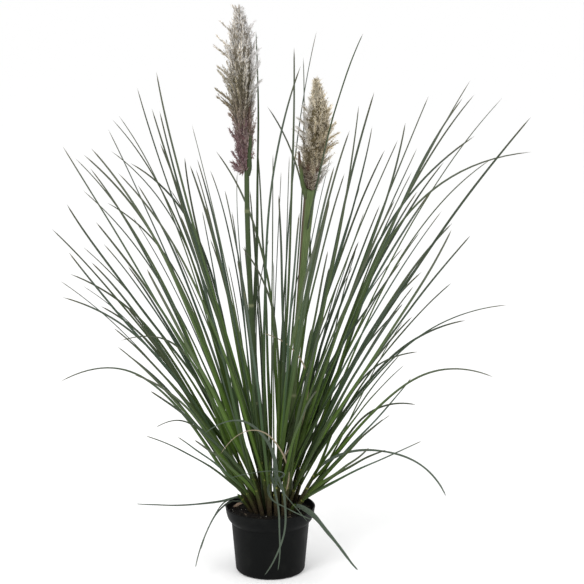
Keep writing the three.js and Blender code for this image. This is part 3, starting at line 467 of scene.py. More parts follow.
def laid_leaf(tiller, leaf):
    """The midline and azimuth of a leaf where it clears every other piece, or None."""
    arched = leaf["fold"] or leaf["droop"] > ARCHED_DROOP
    t = np.linspace(0, 1, 1 + (ARCHED_BLADE_STEPS if arched else BLADE_STEPS))
    half_widths = blade_width(leaf["width"], t) / 2
    for trial in range(TRIALS):
        aside = BOW_STEP * nth_step(trial % BOWS)
        shift = TIP_STEP * nth_step(trial // BOWS)
        curve, azimuth = midline(tiller["axis"], leaf, aside, shift)
        points = curve.points(t)
        if room(tiller["name"], points, half_widths) > BLADE_GAP:
            stand(tiller["name"], points, half_widths)
            return curve, azimuth
    return None


def inner_leaf(foot, azimuth, lean):
    way = heading(azimuth + drawn.spread(-INNER_ASIDE, INNER_ASIDE), lean * drawn.spread(*INNER_LEAN))
    tip = foot + way * drawn.spread(*INNER_LENGTH)
    droop = drawn.spread(0, INNER_DROOP)
    return {"tip": tip, "droop": droop, "width": drawn.spread(*INNER_WIDTH), "fold": 0, "bow": 0}


def planned_tiller(name, radius, degrees, length, listed, own_lean=None, turned=0):
    """A tiller's sheath and its leaves, each with its root's place on the sheath and its twist."""
    foot = (radius * math.cos(math.radians(degrees)), radius * math.sin(math.radians(degrees)), SOIL_HEIGHT)
    foot = np.array(foot) + CLUMP_CENTRE
    tips = [(x, y, max(z, LOWEST_AIM)) for x, y, z, *_ in listed]
    middle = np.mean(tips, axis=0) - foot
    azimuth = math.atan2(middle[1], middle[0])
    lean = min(SHEATH_LEAN * math.atan2(math.hypot(middle[0], middle[1]), middle[2]), MOST_LEAN)
    if own_lean is not None:
        lean = math.radians(own_lean)
    girth = drawn.spread(*SHEATH_GIRTH)
    knee = foot + heading(azimuth, FOOT_LEAN * lean) * length / 2
    axis = Bezier([foot, knee, knee + heading(azimuth, lean) * length / 2])
    leaves = []
    for x, y, z, droop, width, *more in listed:
        fold, bow = (*more, 0, 0)[:2]
        leaf = {"tip": (x, y, z), "droop": math.radians(droop), "width": width, "bow": bow}
        leaves.append({**leaf, "fold": math.radians(fold)})
    while own_lean is None and len(leaves) < LEAVES_PER_TILLER:
        leaves.append(inner_leaf(foot, azimuth, lean))
    for i, leaf in enumerate(leaves):
        leaf["from"] = LOWEST_LEAF + (HIGHEST_LEAF - LOWEST_LEAF) * (i + 1) / len(leaves)
        side, _ = cross_axes(axis.tangents(leaf["from"]), azimuth, 0)
        aside = 0 if leaf["fold"] else ROOT_ASIDE * girth * (1 - SHEATH_TAPER * leaf["from"])
        leaf["offset"] = side[0] * (aside if i % 2 else -aside)
        share = FOLDED_TWIST if leaf["fold"] else 1
        way = -share if drawn() < 0.5 else share
        leaf["twist"] = (way * drawn.spread(*TWIST), share * drawn.spread(-TURN, TURN))
    own = {"name": name, "azimuth": azimuth, "girth": girth, "turned": turned}
    return {**own, "axis": axis, "leaves": leaves}


# ---- Meshes ----


@lru_cache
def tube_faces(rings, sides, pointed, own_sides):
    """Triangles of a closed tube, and each corner's place along and across it. A corner is (ring, side) at
    first. A ring's first own_sides quads are halved one way and its others the other."""
    faces = []
    for ring in range(rings - 1):
        for i in range(sides):
            a, b, c, d = (ring, i), (ring, i + 1), (ring + 1, i + 1), (ring + 1, i)
            faces += [(a, b, c), (a, c, d)] if i < own_sides else [(a, b, d), (b, c, d)]
    faces += [((0, 0), (0, i), (0, i - 1)) for i in range(2, sides)]
    last = rings - 1
    if pointed:
        faces += [((last, i), (last, i + 1), (rings, i + 0.5)) for i in range(sides)]
    else:
        faces += [((last, 0), (last, i - 1), (last, i)) for i in range(2, sides)]
    ring, side = np.moveaxis(np.array(faces, float), 2, 0)
    numbers = np.where(ring == rings, rings * sides, ring * sides + side % sides).astype(int)
    return numbers, np.stack([ring.ravel() / rings, side.ravel() / sides], axis=1)


class Shape:
    """A mesh in the making: points, triangles, what its material reads at each point, and its texture map.

    Every strip or spike has a cell of its own in the map, in a grid of this many columns.
    """

    def __init__(self, columns=1):
        self.columns = columns
        self.cells = 0
        self.count = 0
        self.parts = []

    def add(self, points, faces, values, places, creases=None, number=1):
        """This many like strips. places are the faces' corners in the map, and creases the marked points."""
        creases = np.zeros(len(points)) if creases is None else creases
        cells = self.cells + np.repeat(np.arange(number), len(places) // number)
        self.parts.append((points, faces + self.count, values, creases, cells, places))
        self.cells += number
        self.count += len(points)

    def tube(self, rings, values, tip=None, own_sides=None, creased=()):
        """Rings of points, anticlockwise seen from the end, closed at both ends or drawn to a tip."""
        number, sides = rings.shape[:2]
        points = rings.reshape(-1, 3)
        values = np.broadcast_to(values, (number, sides, 4)).reshape(-1, 4)
        creases = np.tile([creased.index(i) + 1 if i in creased else 0 for i in range(sides)], number)
        if tip is not None:
            points = np.vstack([points, tip])
            values = np.vstack([values, values[-sides] * (0, 0, 1, 1) + (1, 0, 0, 0)])
            creases = np.append(creases, 0)
        faces, places = tube_faces(number, sides, tip is not None, sides if own_sides is None else own_sides)
        self.add(points, faces, values, places, creases)

    def spikes(self, roots, ways, lengths, girths, curls, stations, values):
        """Many small closed spikes with three sides. stations are (share of the length, share of the girth)
        rows, the last of them the point, and curls bend the spikes' ends."""
        ways = unit(ways)
        helper = np.where(np.abs(ways[:, 2:]) < 0.9, [[0.0, 0.0, 1.0]], [[1.0, 0.0, 0.0]])
        side = unit(np.cross(helper, ways))
        above = np.cross(ways, side)
        rows = []
        for share, girth in stations:
            centre = roots + ways * (lengths * share)[:, None] + curls * share**2
            reach = (girths * girth)[:, None]
            for angle in around(3 if girth else 1):
                rows.append(centre + reach * (side * math.cos(angle) + above * math.sin(angle)))
        points = np.stack(rows, axis=1)
        number, each = points.shape[:2]
        faces, places = tube_faces(len(stations) - 1, 3, True, 3)
        faces = (faces[None] + each * np.arange(number)[:, None, None]).reshape(-1, 3)
        values = np.repeat(values, each, axis=0)
        self.add(points.reshape(-1, 3), faces, values, np.tile(places, (number, 1)), number=number)

    def mesh(self, node, material, slot):
        """Makes the object, which replaces this CAD node."""
        points, faces, values, creases, cells, places = (np.concatenate(part) for part in zip(*self.parts))
        data = bpy.data.meshes.new(node + "_fine")
        data.from_pydata((points * MM).tolist(), [], faces.tolist())
        for column, attribute in enumerate(("along", "across", "tone", "kind")):
            layer = data.attributes.new(attribute, "FLOAT", "POINT")
            layer.data.foreach_set("value", values[:, column].astype(np.float32))
        data.shade_smooth()
        if creases.any():
            ends = np.empty(len(data.edges) * 2, np.int32)
            data.edges.foreach_get("vertices", ends)
            marks = creases[ends.reshape(-1, 2)]
            layer = data.attributes.new("sharp_edge", "BOOLEAN", "EDGE")
            layer.data.foreach_set("value", (marks[:, 0] == marks[:, 1]) & (marks[:, 0] > 0))
        margin = 0.06
        inside = margin + (1 - 2 * margin) * places
        place = np.empty((len(cells), 2), np.float32)
        place[:, 0] = (cells % self.columns + inside[:, 0]) / self.columns
        place[:, 1] = (cells // self.columns + inside[:, 1]) / math.ceil(self.cells / self.columns)
        data.uv_layers.new(name="OFBake").data.foreach_set("uv", place.ravel())
        return placed(data, node, material)


def placed(data, node, material):
    """Puts a mesh in the scene in place of this CAD node."""
    data.materials.append(material)
    made = bpy.data.objects.new(node + "_fine", data)
    bpy.context.scene.collection.objects.link(made)
    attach(made, "root")
    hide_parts(node)
    return made


# ---- Materials ----


class Value:
    """What a node gives at each point of a surface. Its sums and products are new nodes."""

    def __init__(self, paint, socket):
        self.paint = paint
        self.socket = socket

    def math(self, operation, *others):
        return self.paint.node("Math", dict(enumerate((self, *others))), operation=operation)

    def __add__(self, other):
        return self.math("ADD", other)

    def __mul__(self, other):
        return self.math("MULTIPLY", other)

    def band(self, low, high):
        """0 up to low and 1 from high, smooth between them. high may be below low."""
        ends = (low, high, 0.0, 1.0) if low < high else (high, low, 1.0, 0.0)
        return self.paint.node("MapRange", dict(enumerate((self, *ends))), interpolation_type="SMOOTHSTEP")


class Paint:
    """One procedural material round a Principled shader."""

    def __init__(self, name, **settings):
        self.material = bpy.data.materials.new(name)
        self.material.use_nodes = True
        self.tree = self.material.node_tree
        self.feed(self.tree.nodes["Principled BSDF"], settings)

    def feed(self, node, sources):
        for name, source in sources.items():
            socket = node.inputs[name.replace("_", " ") if isinstance(name, str) else name]
            if isinstance(source, Value):
                self.tree.links.new(source.socket, socket)
            elif isinstance(source, tuple) and len(socket.default_value) == 4:
                socket.default_value = (*source, 1)
            else:
                socket.default_value = source

    def finished(self, **sources):
        self.feed(self.tree.nodes["Principled BSDF"], sources)
        return self.material

    def node(self, kind, sources, output=0, **settings):
        node = self.tree.nodes.new("ShaderNode" + kind)
        for name, setting in settings.items():
            setattr(node, name, setting)
        self.feed(node, sources)
        return Value(self, node.outputs[output])

    def read(self, *attributes):
        return [self.node("Attribute", {}, "Fac", attribute_name=attribute) for attribute in attributes]

    def mix(self, share, first, second, blend="MIX"):
        return self.node("Mix", {0: share, 6: first, 7: second}, 2, data_type="RGBA", blend_type=blend)

    def lit(self, colour, light):
        """The colour made lighter or darker."""
        return self.mix(1.0, colour, self.joined(light, light, light), "MULTIPLY")

    def ramp(self, value, stops):
        made = self.node("ValToRGB", {0: value})
        elements = made.socket.node.color_ramp.elements
        while len(elements) < len(stops):
            elements.new(0.5)
        for element, (place, colour) in zip(elements, stops):
            element.position = place
            element.color = (*colour, 1)
        return made

    def place(self, scale=(1, 1, 1)):
        """Object coordinates, stretched."""
        return self.node("Mapping", {"Vector": self.node("TexCoord", {}, "Object"), "Scale": scale})

    def joined(self, x, y, z):
        return self.node("CombineXYZ", {0: x, 1: y, 2: z})

    def noise(self, vector, scale, detail):
        return self.node("TexNoise", {"Vector": vector, "Scale": scale, "Detail": detail})

    def bump(self, height, strength, distance):
        return self.node("Bump", {"Strength": strength, "Distance": distance, "Height": height})


def leaf_material():
    """Blades: bright green near the sheath, greyer towards the tip, with veins, a pale midrib and pale edges.
    Sheaths (kind 0 to 0.5): purplish brown at the foot, green above. Dry blades (kind 2): straw. Those turned
    over (kind 3): bluish."""
    paint = Paint("leaf", Specular_IOR_Level=0.12)
    along, across, tone, kind = paint.read("along", "across", "tone", "kind")
    fresh = paint.ramp(along, [
        (0.0, (0.034, 0.066, 0.003)), (0.22, (0.038, 0.08, 0.005)), (0.5, (0.042, 0.068, 0.024)),
        (0.8, (0.049, 0.057, 0.043)), (0.97, (0.06, 0.06, 0.05)), (1.0, (0.088, 0.064, 0.036)),
    ])
    cool = paint.ramp(along, [
        (0.0, (0.019, 0.037, 0.005)), (0.3, (0.018, 0.041, 0.016)), (0.6, (0.03, 0.05, 0.041)),
        (0.9, (0.045, 0.055, 0.052)), (1.0, (0.078, 0.063, 0.038)),
    ])
    colour = paint.mix(tone.band(0.3, 0.7), fresh, cool)
    # Each leaf at random 0.55 to 1.5 times as light: partly real differences between leaves, partly painted
    # light and shade that draws some leaves as if in sun and some as if in shade.
    leaf_tone_and_painted_light = (tone * 7.31).math("FRACT")
    colour = paint.lit(colour, leaf_tone_and_painted_light * 0.95 + 0.55)
    mottle = paint.noise(paint.joined(along * 9, across * 5, tone), 3, 4)
    veins = (across * 42).math("SINE")
    from_middle = across.math("ABSOLUTE")
    colour = paint.mix(mottle.band(0.35, 0.7) * 0.3, colour, (0.1, 0.125, 0.045))
    colour = paint.mix(veins.band(0, 1) * 0.15, colour, (0.12, 0.16, 0.07))
    colour = paint.mix(from_middle.band(0.14, 0.02) * 0.35, colour, (0.17, 0.21, 0.1))
    colour = paint.mix(from_middle.band(0.86, 1) * 0.25, colour, (0.12, 0.13, 0.08))
    straw = paint.ramp(mottle, [
        (0.3, (0.17, 0.13, 0.085)), (0.55, (0.31, 0.26, 0.18)), (0.75, (0.23, 0.185, 0.125)),
    ])
    colour = paint.mix(kind.band(1.3, 1.7), colour, straw)
    bluish = paint.ramp(mottle, [(0.35, (0.05, 0.069, 0.05)), (0.7, (0.085, 0.106, 0.078))])
    colour = paint.mix(kind.band(2.3, 2.7), colour, bluish)
    sheath = paint.ramp(along, [
        (0.0, (0.018, 0.012, 0.008)), (0.15, (0.028, 0.018, 0.012)), (0.35, (0.03, 0.028, 0.01)),
        (0.6, (0.026, 0.042, 0.007)), (1.0, (0.03, 0.058, 0.008)),
    ])
    rust = paint.ramp(along, [
        (0.0, (0.05, 0.022, 0.01)), (0.2, (0.12, 0.052, 0.02)), (0.4, (0.06, 0.045, 0.016)),
        (1.0, (0.04, 0.06, 0.012)),
    ])
    sheath = paint.mix(tone.band(0.92, 0.95), sheath, rust)
    streaks = paint.noise(paint.joined(along * 2, across, tone), 16, 4)
    sheath = paint.mix(streaks.band(0.45, 0.75), sheath, paint.mix(0.5, sheath, (0.11, 0.11, 0.045)))
    sheath = paint.mix(kind.band(0.1, 0.4) * 0.6, sheath, (0.24, 0.25, 0.06))
    colour = paint.mix(kind.band(0.6, 0.9), sheath, colour)
    relief = paint.bump(veins * 0.5 + mottle, 0.35, 0.0003)
    return paint.finished(Base_Color=colour, Roughness=mottle * 0.25 + 0.36, Normal=relief)


def culm_material(name, depth):
    """Green stems with lengthwise stripes, pale bloom at the joints (kind 1) and darker leaves (kind -1), and
    purple where tone is high. depth mixes in a dark green."""
    paint = Paint(name, Roughness=0.45, Specular_IOR_Level=0.25)
    along, across, tone, kind = paint.read("along", "across", "tone", "kind")
    green = paint.ramp(along, [
        (0.0, (0.03, 0.025, 0.012)), (0.12, (0.035, 0.05, 0.014)), (0.5, (0.04, 0.065, 0.016)),
        (1.0, (0.06, 0.09, 0.026)),
    ])
    stripes = paint.noise(paint.joined(along * 1.5, across, 0), 14, 3)
    ribs = (across * 55).math("SINE")
    colour = paint.mix(stripes.band(0.4, 0.7), green, paint.mix(0.5, green, (0.12, 0.16, 0.06)))
    colour = paint.mix(ribs.band(0, 1) * 0.2, colour, (0.15, 0.2, 0.08))
    leafy = kind.band(-0.3, -0.7) * 0.7
    colour = paint.mix(leafy.math("MAXIMUM", depth), colour, (0.012, 0.026, 0.008))
    purple = tone.band(0.4, 0.9) * along.band(0.5, 0.8)
    colour = paint.mix(purple * 0.85, colour, (0.06, 0.028, 0.024))
    colour = paint.mix(kind.band(0.2, 0.9) * 0.6, colour, (0.25, 0.26, 0.14))
    return paint.finished(Base_Color=colour, Normal=paint.bump(ribs * 0.4 + stripes, 0.3, 0.0003))


def plume_material(name, body, hairs, stain, stained_to, to_left, silvery):
    """Branches and spikelets (kind 0 and 1) take the body's colours by height, hairs (kind 2) their own, all
    darker towards a branch's root and in the plume's inside, which is painted shade. Blotches of stain reach
    from the foot up to a height, more so to the left when to_left is high. silvery has (side, from, to) rows:
    a side and the heights where it is white."""
    paint = Paint(name, Roughness=0.75, Specular_IOR_Level=0.2)
    along, across, tone, kind = paint.read("along", "across", "tone", "kind")
    is_hair = kind.band(1.3, 1.7)
    colour = paint.mix(is_hair, paint.ramp(along, body), paint.ramp(along, hairs))
    # Painted shade: tone is low towards a branch's root and in the plume's inside, so those parts are drawn
    # darker; hairs are drawn a little lighter.
    colour = paint.lit(colour, tone * 1.2 + 0.2 + is_hair * 0.25)
    for side, low, high in silvery:
        height = along.band(low - 0.08, low + 0.08) * along.band(high + 0.08, high - 0.08)
        silver = (across * side).band(0.1, 0.8) * height * tone.band(0.25, 0.6)
        colour = paint.mix(silver * 0.7, colour, (0.82, 0.82, 0.84))
    blotches = paint.noise(paint.place((90, 90, 28)), 1, 3) + across * -to_left
    share = blotches.band(0.42, 0.58) * along.band(stained_to, 0.6 * stained_to) * (is_hair * -0.45 + 0.9)
    colour = paint.mix(share, colour, stain)
    grain = paint.noise(paint.place(), 900, 2)
    colour = paint.mix(grain * 0.2, colour, (0.12, 0.1, 0.07))
    return paint.finished(Base_Color=colour, Normal=paint.bump(grain, 0.3, 0.0002))


def silver_plume_material():
    return plume_material(
        "silver_plume",
        body=[
            (0.0, (0.19, 0.14, 0.1)), (0.25, (0.2, 0.15, 0.12)), (0.42, (0.19, 0.155, 0.1)),
            (0.55, (0.22, 0.19, 0.115)), (0.75, (0.46, 0.4, 0.3)), (1.0, (0.66, 0.6, 0.52)),
        ],
        hairs=[
            (0.0, (0.48, 0.36, 0.38)), (0.3, (0.4, 0.31, 0.31)), (0.45, (0.38, 0.33, 0.27)),
            (0.6, (0.62, 0.58, 0.5)), (0.72, (1.0, 0.98, 0.96)), (1.0, (1.0, 1.0, 1.0)),
        ],
        stain=(0.125, 0.06, 0.07),
        stained_to=0.42,
        to_left=0.1,
        silvery=[(1, 0.42, 1.2)],
    )


def golden_plume_material():
    return plume_material(
        "golden_plume",
        body=[
            (0.0, (0.12, 0.09, 0.045)), (0.15, (0.17, 0.13, 0.062)), (0.45, (0.27, 0.21, 0.1)),
            (1.0, (0.4, 0.33, 0.18)),
        ],
        hairs=[
            (0.0, (0.52, 0.46, 0.37)), (0.3, (0.58, 0.51, 0.38)), (0.6, (0.7, 0.62, 0.48)),
            (1.0, (0.86, 0.79, 0.66)),
        ],
        stain=(0.055, 0.028, 0.018),
        stained_to=0.3,
        to_left=0.35,
        silvery=[(1, -0.2, 0.32), (-1, 0.38, 0.85)],
    )


def pot_material():
    """Black moulded plastic: fine grain, faint upright scuffs and patches of dust."""
    paint = Paint("pot_plastic", Specular_IOR_Level=0.06)
    dust = paint.noise(paint.place(), 28, 6)
    scuffs = paint.noise(paint.place((60, 60, 4)), 2.2, 5)
    grain = paint.noise(paint.place(), 1400, 2)
    colour = paint.mix(dust.band(0.5, 0.8), (0.003, 0.0034, 0.0034), (0.0065, 0.007, 0.0065))
    colour = paint.mix(scuffs.band(0.6, 0.8) * 0.35, colour, (0.011, 0.011, 0.0105))
    relief = paint.bump(grain * 0.5 + scuffs, 0.15, 0.0004)
    return paint.finished(Base_Color=colour, Roughness=dust * 0.4 + 0.3, Normal=relief)


def soil_material():
    """Dark bark mix with crumbs (kind 1) that differ from each other, browner chips (2) and pale grit (3)."""
    paint = Paint("potting_mix", Roughness=0.95, Specular_IOR_Level=0.1)
    tone, kind = paint.read("tone", "kind")
    clods = paint.noise(paint.place(), 260, 8)
    fibres = paint.noise(paint.place((1, 4, 1)), 420, 4)
    colour = paint.ramp(clods, [
        (0.3, (0.003, 0.0027, 0.0023)), (0.5, (0.007, 0.006, 0.005)), (0.72, (0.02, 0.017, 0.014)),
    ])
    crumb = paint.ramp(tone, [
        (0.0, (0.004, 0.0033, 0.0028)), (0.6, (0.011, 0.0095, 0.008)), (1.0, (0.036, 0.03, 0.023)),
    ])
    chip = paint.ramp(tone, [
        (0.0, (0.008, 0.006, 0.005)), (0.5, (0.022, 0.016, 0.012)), (1.0, (0.09, 0.072, 0.052)),
    ])
    for number, tint in enumerate((crumb, chip, (0.5, 0.48, 0.43))):
        colour = paint.mix(kind.band(number + 0.4, number + 0.6), colour, tint)
    colour = paint.mix(fibres.band(0.55, 0.75) * 0.5, colour, (0.012, 0.009, 0.006))
    return paint.finished(Base_Color=colour, Normal=paint.bump(clods + fibres, 0.7, 0.0012))


def dead_leaf_material():
    paint = Paint("dead_leaf", Roughness=0.75)
    blotches = paint.noise(paint.place(), 160, 5)
    colour = paint.ramp(blotches, [
        (0.3, (0.12, 0.075, 0.045)), (0.55, (0.27, 0.185, 0.12)), (0.75, (0.38, 0.3, 0.21)),
    ])
    veins = (paint.read("across")[0] * 30).math("SINE")
    colour = paint.mix(veins.band(0.2, 1) * 0.4, colour, (0.1, 0.055, 0.03))
    return paint.finished(Base_Color=colour, Normal=paint.bump(veins, 0.4, 0.0003))


# ---- Tillers and culms ----


def blade(shape, curve, azimuth, width, twist, tone, kind):
    """A keeled blade with a midrib, folded more at its root, that sways a little from its midline."""
    t = np.linspace(0, 1, BLADE_RINGS + 1)[:-1]
    side, above = cross_axes(curve.tangents(t), azimuth, twist[0] + twist[1] * t)
    half = (shown_width(width, t) / 2)[:, None]
    sway = SWAY * np.sin(2 * math.pi * (2.3 * t + 5 * tone)) * np.sin(math.pi * t)
    centres = curve.points(t) + side * sway[:, None]
    depth = half * (FOLD_DEPTH + ROOT_FOLD * np.exp(-t / 0.05))[:, None]
    ruffle = (RUFFLE * half[:, 0] * np.sin(2 * math.pi * (4 * t + 3 * tone)))[:, None]
    under = -SHOULDER * depth
    thick = (BLADE_THICKNESS * (1 - 0.5 * t))[:, None]
    rib = (MIDRIB * (1 - 0.7 * t))[:, None]
    section = [
        (1.0, ruffle), (0.5, under), (0.0, -depth), (-0.5, under),
        (-1.0, -ruffle), (-0.5, under - thick), (0.0, -depth - thick - rib), (0.5, under - thick),
    ]
    rings = np.stack([centres + side * half * x + above * y for x, y in section], axis=1)
    values = np.empty((len(t), len(section), 4))
    values[..., 0] = t[:, None]
    values[..., 1] = [x for x, _ in section]
    values[..., 2:] = (tone, kind)
    shape.tube(rings, values, tip=curve.points(1)[0], own_sides=4, creased=(0, 4))


def oval_rings(centres, tangents, azimuth, half_widths, half_depths, sides, ribs=0.0, rib_number=0):
    side, above = cross_axes(tangents, azimuth, 0)
    uneven = 1 + ribs * np.cos(rib_number * around(sides))
    x = (uneven * np.cos(around(sides)))[None, :, None] * side[:, None] * half_widths[:, None, None]
    y = (uneven * np.sin(around(sides)))[None, :, None] * above[:, None] * half_depths[:, None, None]
    return centres[:, None] + x + y


def stem(axis, t, azimuth, half_widths, half_depths, sides, ribs, rib_number):
    """A stem's rings, level at the soil and with one more for its foot, and their values along and across."""
    centres, tangents = axis.points(t), axis.tangents(t)
    centres = np.vstack([centres[0] - tangents[0] * FOOT_DEPTH, centres])
    tangents = np.vstack([tangents[0], (0, 0, 1), tangents[1:]])
    values = np.zeros((len(centres), sides, 4))
    values[..., 0] = np.append(0, t)[:, None]
    values[..., 1] = np.abs(np.arange(sides) / sides * 2 - 1)
    return oval_rings(centres, tangents, azimuth, half_widths, half_depths, sides, ribs, rib_number), values


def sheath(shape, tiller, tone):
    """A tiller's rolled sheaths: a step down and a pale mark at each leaf's root, and a pointed top."""
    axis, girth = tiller["axis"], tiller["girth"]
    froms = np.array([leaf["from"] for leaf in tiller["leaves"]])
    marks = np.add.outer(LEAF_MARKS, froms).ravel()
    t = np.unique(np.concatenate([np.linspace(0, 1, SHEATH_RINGS), marks]).round(4))
    t = t[(t >= 0) & (t <= 1)]
    above = (froms[None] > t[:, None]).sum(1) / len(froms)
    slim = (1 - SHEATH_TAPER * t) * girth + SHEATH_STEP * (above - 0.5)
    slim = np.append(FOOT_SHARE * girth, slim * np.minimum(1, 0.25 + (1 - t) * 9))
    rings, values = stem(axis, t, tiller["azimuth"], slim, FLATNESS * slim, SHEATH_SIDES, 0.03, 7)
    values[..., 2] = tone
    for i, root in enumerate(froms):
        near = np.abs(t - root) < COLLAR_MARK
        values[1:, :, 3] += 0.5 * near[:, None] * (np.cos(around(SHEATH_SIDES)) * (1 if i % 2 else -1) > 0.4)
    shape.tube(rings, values, tip=axis.points(1)[0] + axis.tangents(1)[0] * 2)


def shown_twist(leaf, azimuth, turned):
    """A blade's twist at its root and its turn to the tip as drawn. One that arches aside shows its face."""
    start, turn = leaf["twist"]
    if leaf["droop"] > FACING_DROOP and abs(math.cos(azimuth)) > FACING_SIDE:
        return math.copysign(max(abs(start), FACING_TWIST), start), FACING_TURN * turn
    return start + turned, turn - turned


def tiller_piece(tiller, material):
    tones = np.random.default_rng(int(tiller["name"][-2:]))
    shape = Shape()
    sheath(shape, tiller, tones.random())
    for leaf in tiller["leaves"]:
        laid = laid_leaf(tiller, leaf)
        if not laid:
            continue
        width, kind = leaf["width"], 1
        if leaf["fold"] < 0:  # leans back over its sheath
            kind = 2
        elif leaf["fold"]:
            kind = 3
            width *= SLENDER if width < SLENDER_BELOW else 1
        twist = shown_twist(leaf, laid[1], tiller["turned"])
        blade(shape, *laid, width, twist, tones.random(), kind)
    return shape.mesh(tiller["name"], material, "leaf")


def flag_leaf(spec):
    """A flag leaf's midline, bowed as a whole, and its azimuth."""
    leaf = {**spec["flag"], "droop": math.radians(spec["flag"]["droop"]), "offset": 0, "fold": 0, "bow": 0}
    curve, azimuth = midline(Bezier(spec["axis"]), leaf, 0, 0)
    curve.controls[1:3, :2] += spec["flag"]["bow"]
    return curve, azimuth


def culm_piece(spec, flag, material):
    """A stem in its sheaths, swollen a little at each joint, with its flag leaf and the lip by its plume."""
    shape = Shape()
    joints = np.array(spec["joints"])
    t = np.unique(np.concatenate([np.linspace(0, 1, CULM_RINGS), joints - 0.003, joints + 0.003]))
    nearest = np.abs(t[:, None] - joints[None]).min(1)
    swell = JOINT_SWELL * np.exp(-((nearest / JOINT_LENGTH) ** 2))
    wide, deep = (
        np.append(FOOT_SHARE * spec["girth"][0][column], value_at(spec["girth"], t, column) + swell)
        for column in (1, 2)
    )
    rings, values = stem(Bezier(spec["axis"]), t, -math.pi / 2, wide, deep, CULM_SIDES, 0.025, 12)
    values[..., 2] = -spec["purple"] * np.cos(around(CULM_SIDES))
    values[1:, :, 3] = np.exp(-((nearest / BLOOM_LENGTH) ** 2))[:, None]
    shape.tube(rings, values)
    blade(shape, *flag, FLAG_BREADTH * spec["flag"]["width"], FLAG_TWIST, 0.0, -1)
    blade(shape, Bezier(spec["lip"]), -math.pi / 2, LIP_WIDTH, (0, 0), 1.0, 0)
    return shape.mesh(spec["name"], material, "culm")


# ---- Plumes ----


def clothe(shape, spec, chance, roots, ways, values, shrink):
    """Spikelets at these roots that set out these ways, each with two hairs. values are as Shape's."""
    number = len(roots)

    def scatter(length, girth, tilts, curl, kind, stations):
        across = unit(np.cross(ways, chance.normal(size=(number, 3))))
        own = values + (0, 0, 0, kind)
        own[:, 2] += 0.2 * chance.random(number)
        lengths = length * chance.uniform(0.7, 1.25, number) * shrink
        curls = unit(across + chance.normal(size=(number, 3))) * curl
        tilted = ways + across * chance.uniform(*tilts, number)[:, None]
        shape.spikes(roots, tilted, lengths, girth * shrink, curls, stations, own)

    scatter(spec["spikelet"], 0.14 * spec["spikelet"], (0.1, 0.45), 0.4, 1, [(0, 0.3), (0.35, 1), (1, 0)])
    for _ in range(2):
        scatter(spec["hair"], 0.5, (0.2, 0.6), spec["curl"], 2, spec["hair_rings"])


def plume_branch(shape, spec, curve, chance, height, out, girth, bushy):
    """A branch that narrows to its tip, with spikelets, scaled by bushy, that are paler from its root on:
    painted shade darkens the branch and the spikelets near its root.
    """
    length = np.linalg.norm(curve.points(1)[0] - curve.points(0)[0])
    t = np.linspace(0, 1, 7)[:-1]
    thin = girth * (1 - 0.8 * t)
    rings = oval_rings(curve.points(t), curve.tangents(t), math.atan2(out[1], out[0]), thin, thin, 4)
    tone = chance.random()
    # A low tone draws the branch itself darker than its spikelets: painted shade.
    shape.tube(rings, (height, out[0], 0.1 + 0.3 * tone, 0), tip=curve.points(1)[0])
    number = max(8, round(length / spec["apart"]))
    s = np.sort(chance.uniform(0.12, 1.0, number))
    values = np.zeros((number, 4))
    values[:, :2] = (height, out[0])
    # A random tone for the branch plus painted shade that darkens spikelets towards its root.
    values[:, 2] = 0.55 * tone + 0.35 * s**1.5
    clothe(shape, spec, chance, curve.points(s), curve.tangents(s), values, bushy * (1 - 0.55 * s))


def plume_core(shape, spec, axis, tall):
    """The lumpy inside of a plume and the stalk below it, drawn dark as painted shade."""
    t = np.linspace(STALK_FROM, 1, 60)
    up = np.maximum(t, 0)
    line = axis.points(up)
    line[t < 0] += (axis.tangents(0)[0] * tall) * t[t < 0][:, None]
    lumpy = INSIDE * value_at(spec["outline"], up) * (1 + 0.12 * np.sin(70 * t))
    girth = np.where(t < CORE_FROM, STALK_GIRTH, lumpy)
    values = np.zeros((len(t), CORE_SIDES, 4))
    values[..., 0] = up[:, None]
    values[..., 1] = np.cos(around(CORE_SIDES))
    # A low tone, painted shade: the inside is drawn dark.
    values[..., 2] = 0.05
    rings = oval_rings(line, axis.tangents(up), 0, girth, girth, CORE_SIDES, 0.12, 5)
    shape.tube(rings, values, tip=axis.points(1)[0] + (0, 0, 3))


def plume_fleece(shape, spec, axis, chance):
    """Short spikelets all over the inside, drawn darker as painted shade."""
    t = chance.random(spec["fleece"])
    angles = chance.uniform(0, 2 * math.pi, spec["fleece"])
    outs = np.stack([np.cos(angles), np.sin(angles), np.zeros_like(angles)], axis=1)
    roots = axis.points(t) + outs * (0.9 * INSIDE * value_at(spec["outline"], t))[:, None]
    # Low tones, 0.1 to 0.45: painted shade inside the plume.
    values = np.stack([t, outs[:, 0], chance.uniform(0.1, 0.45, spec["fleece"]), 0 * t], axis=1)
    clothe(shape, spec, chance, roots, unit(axis.tangents(t) + 0.45 * outs), values, np.ones(len(t)))


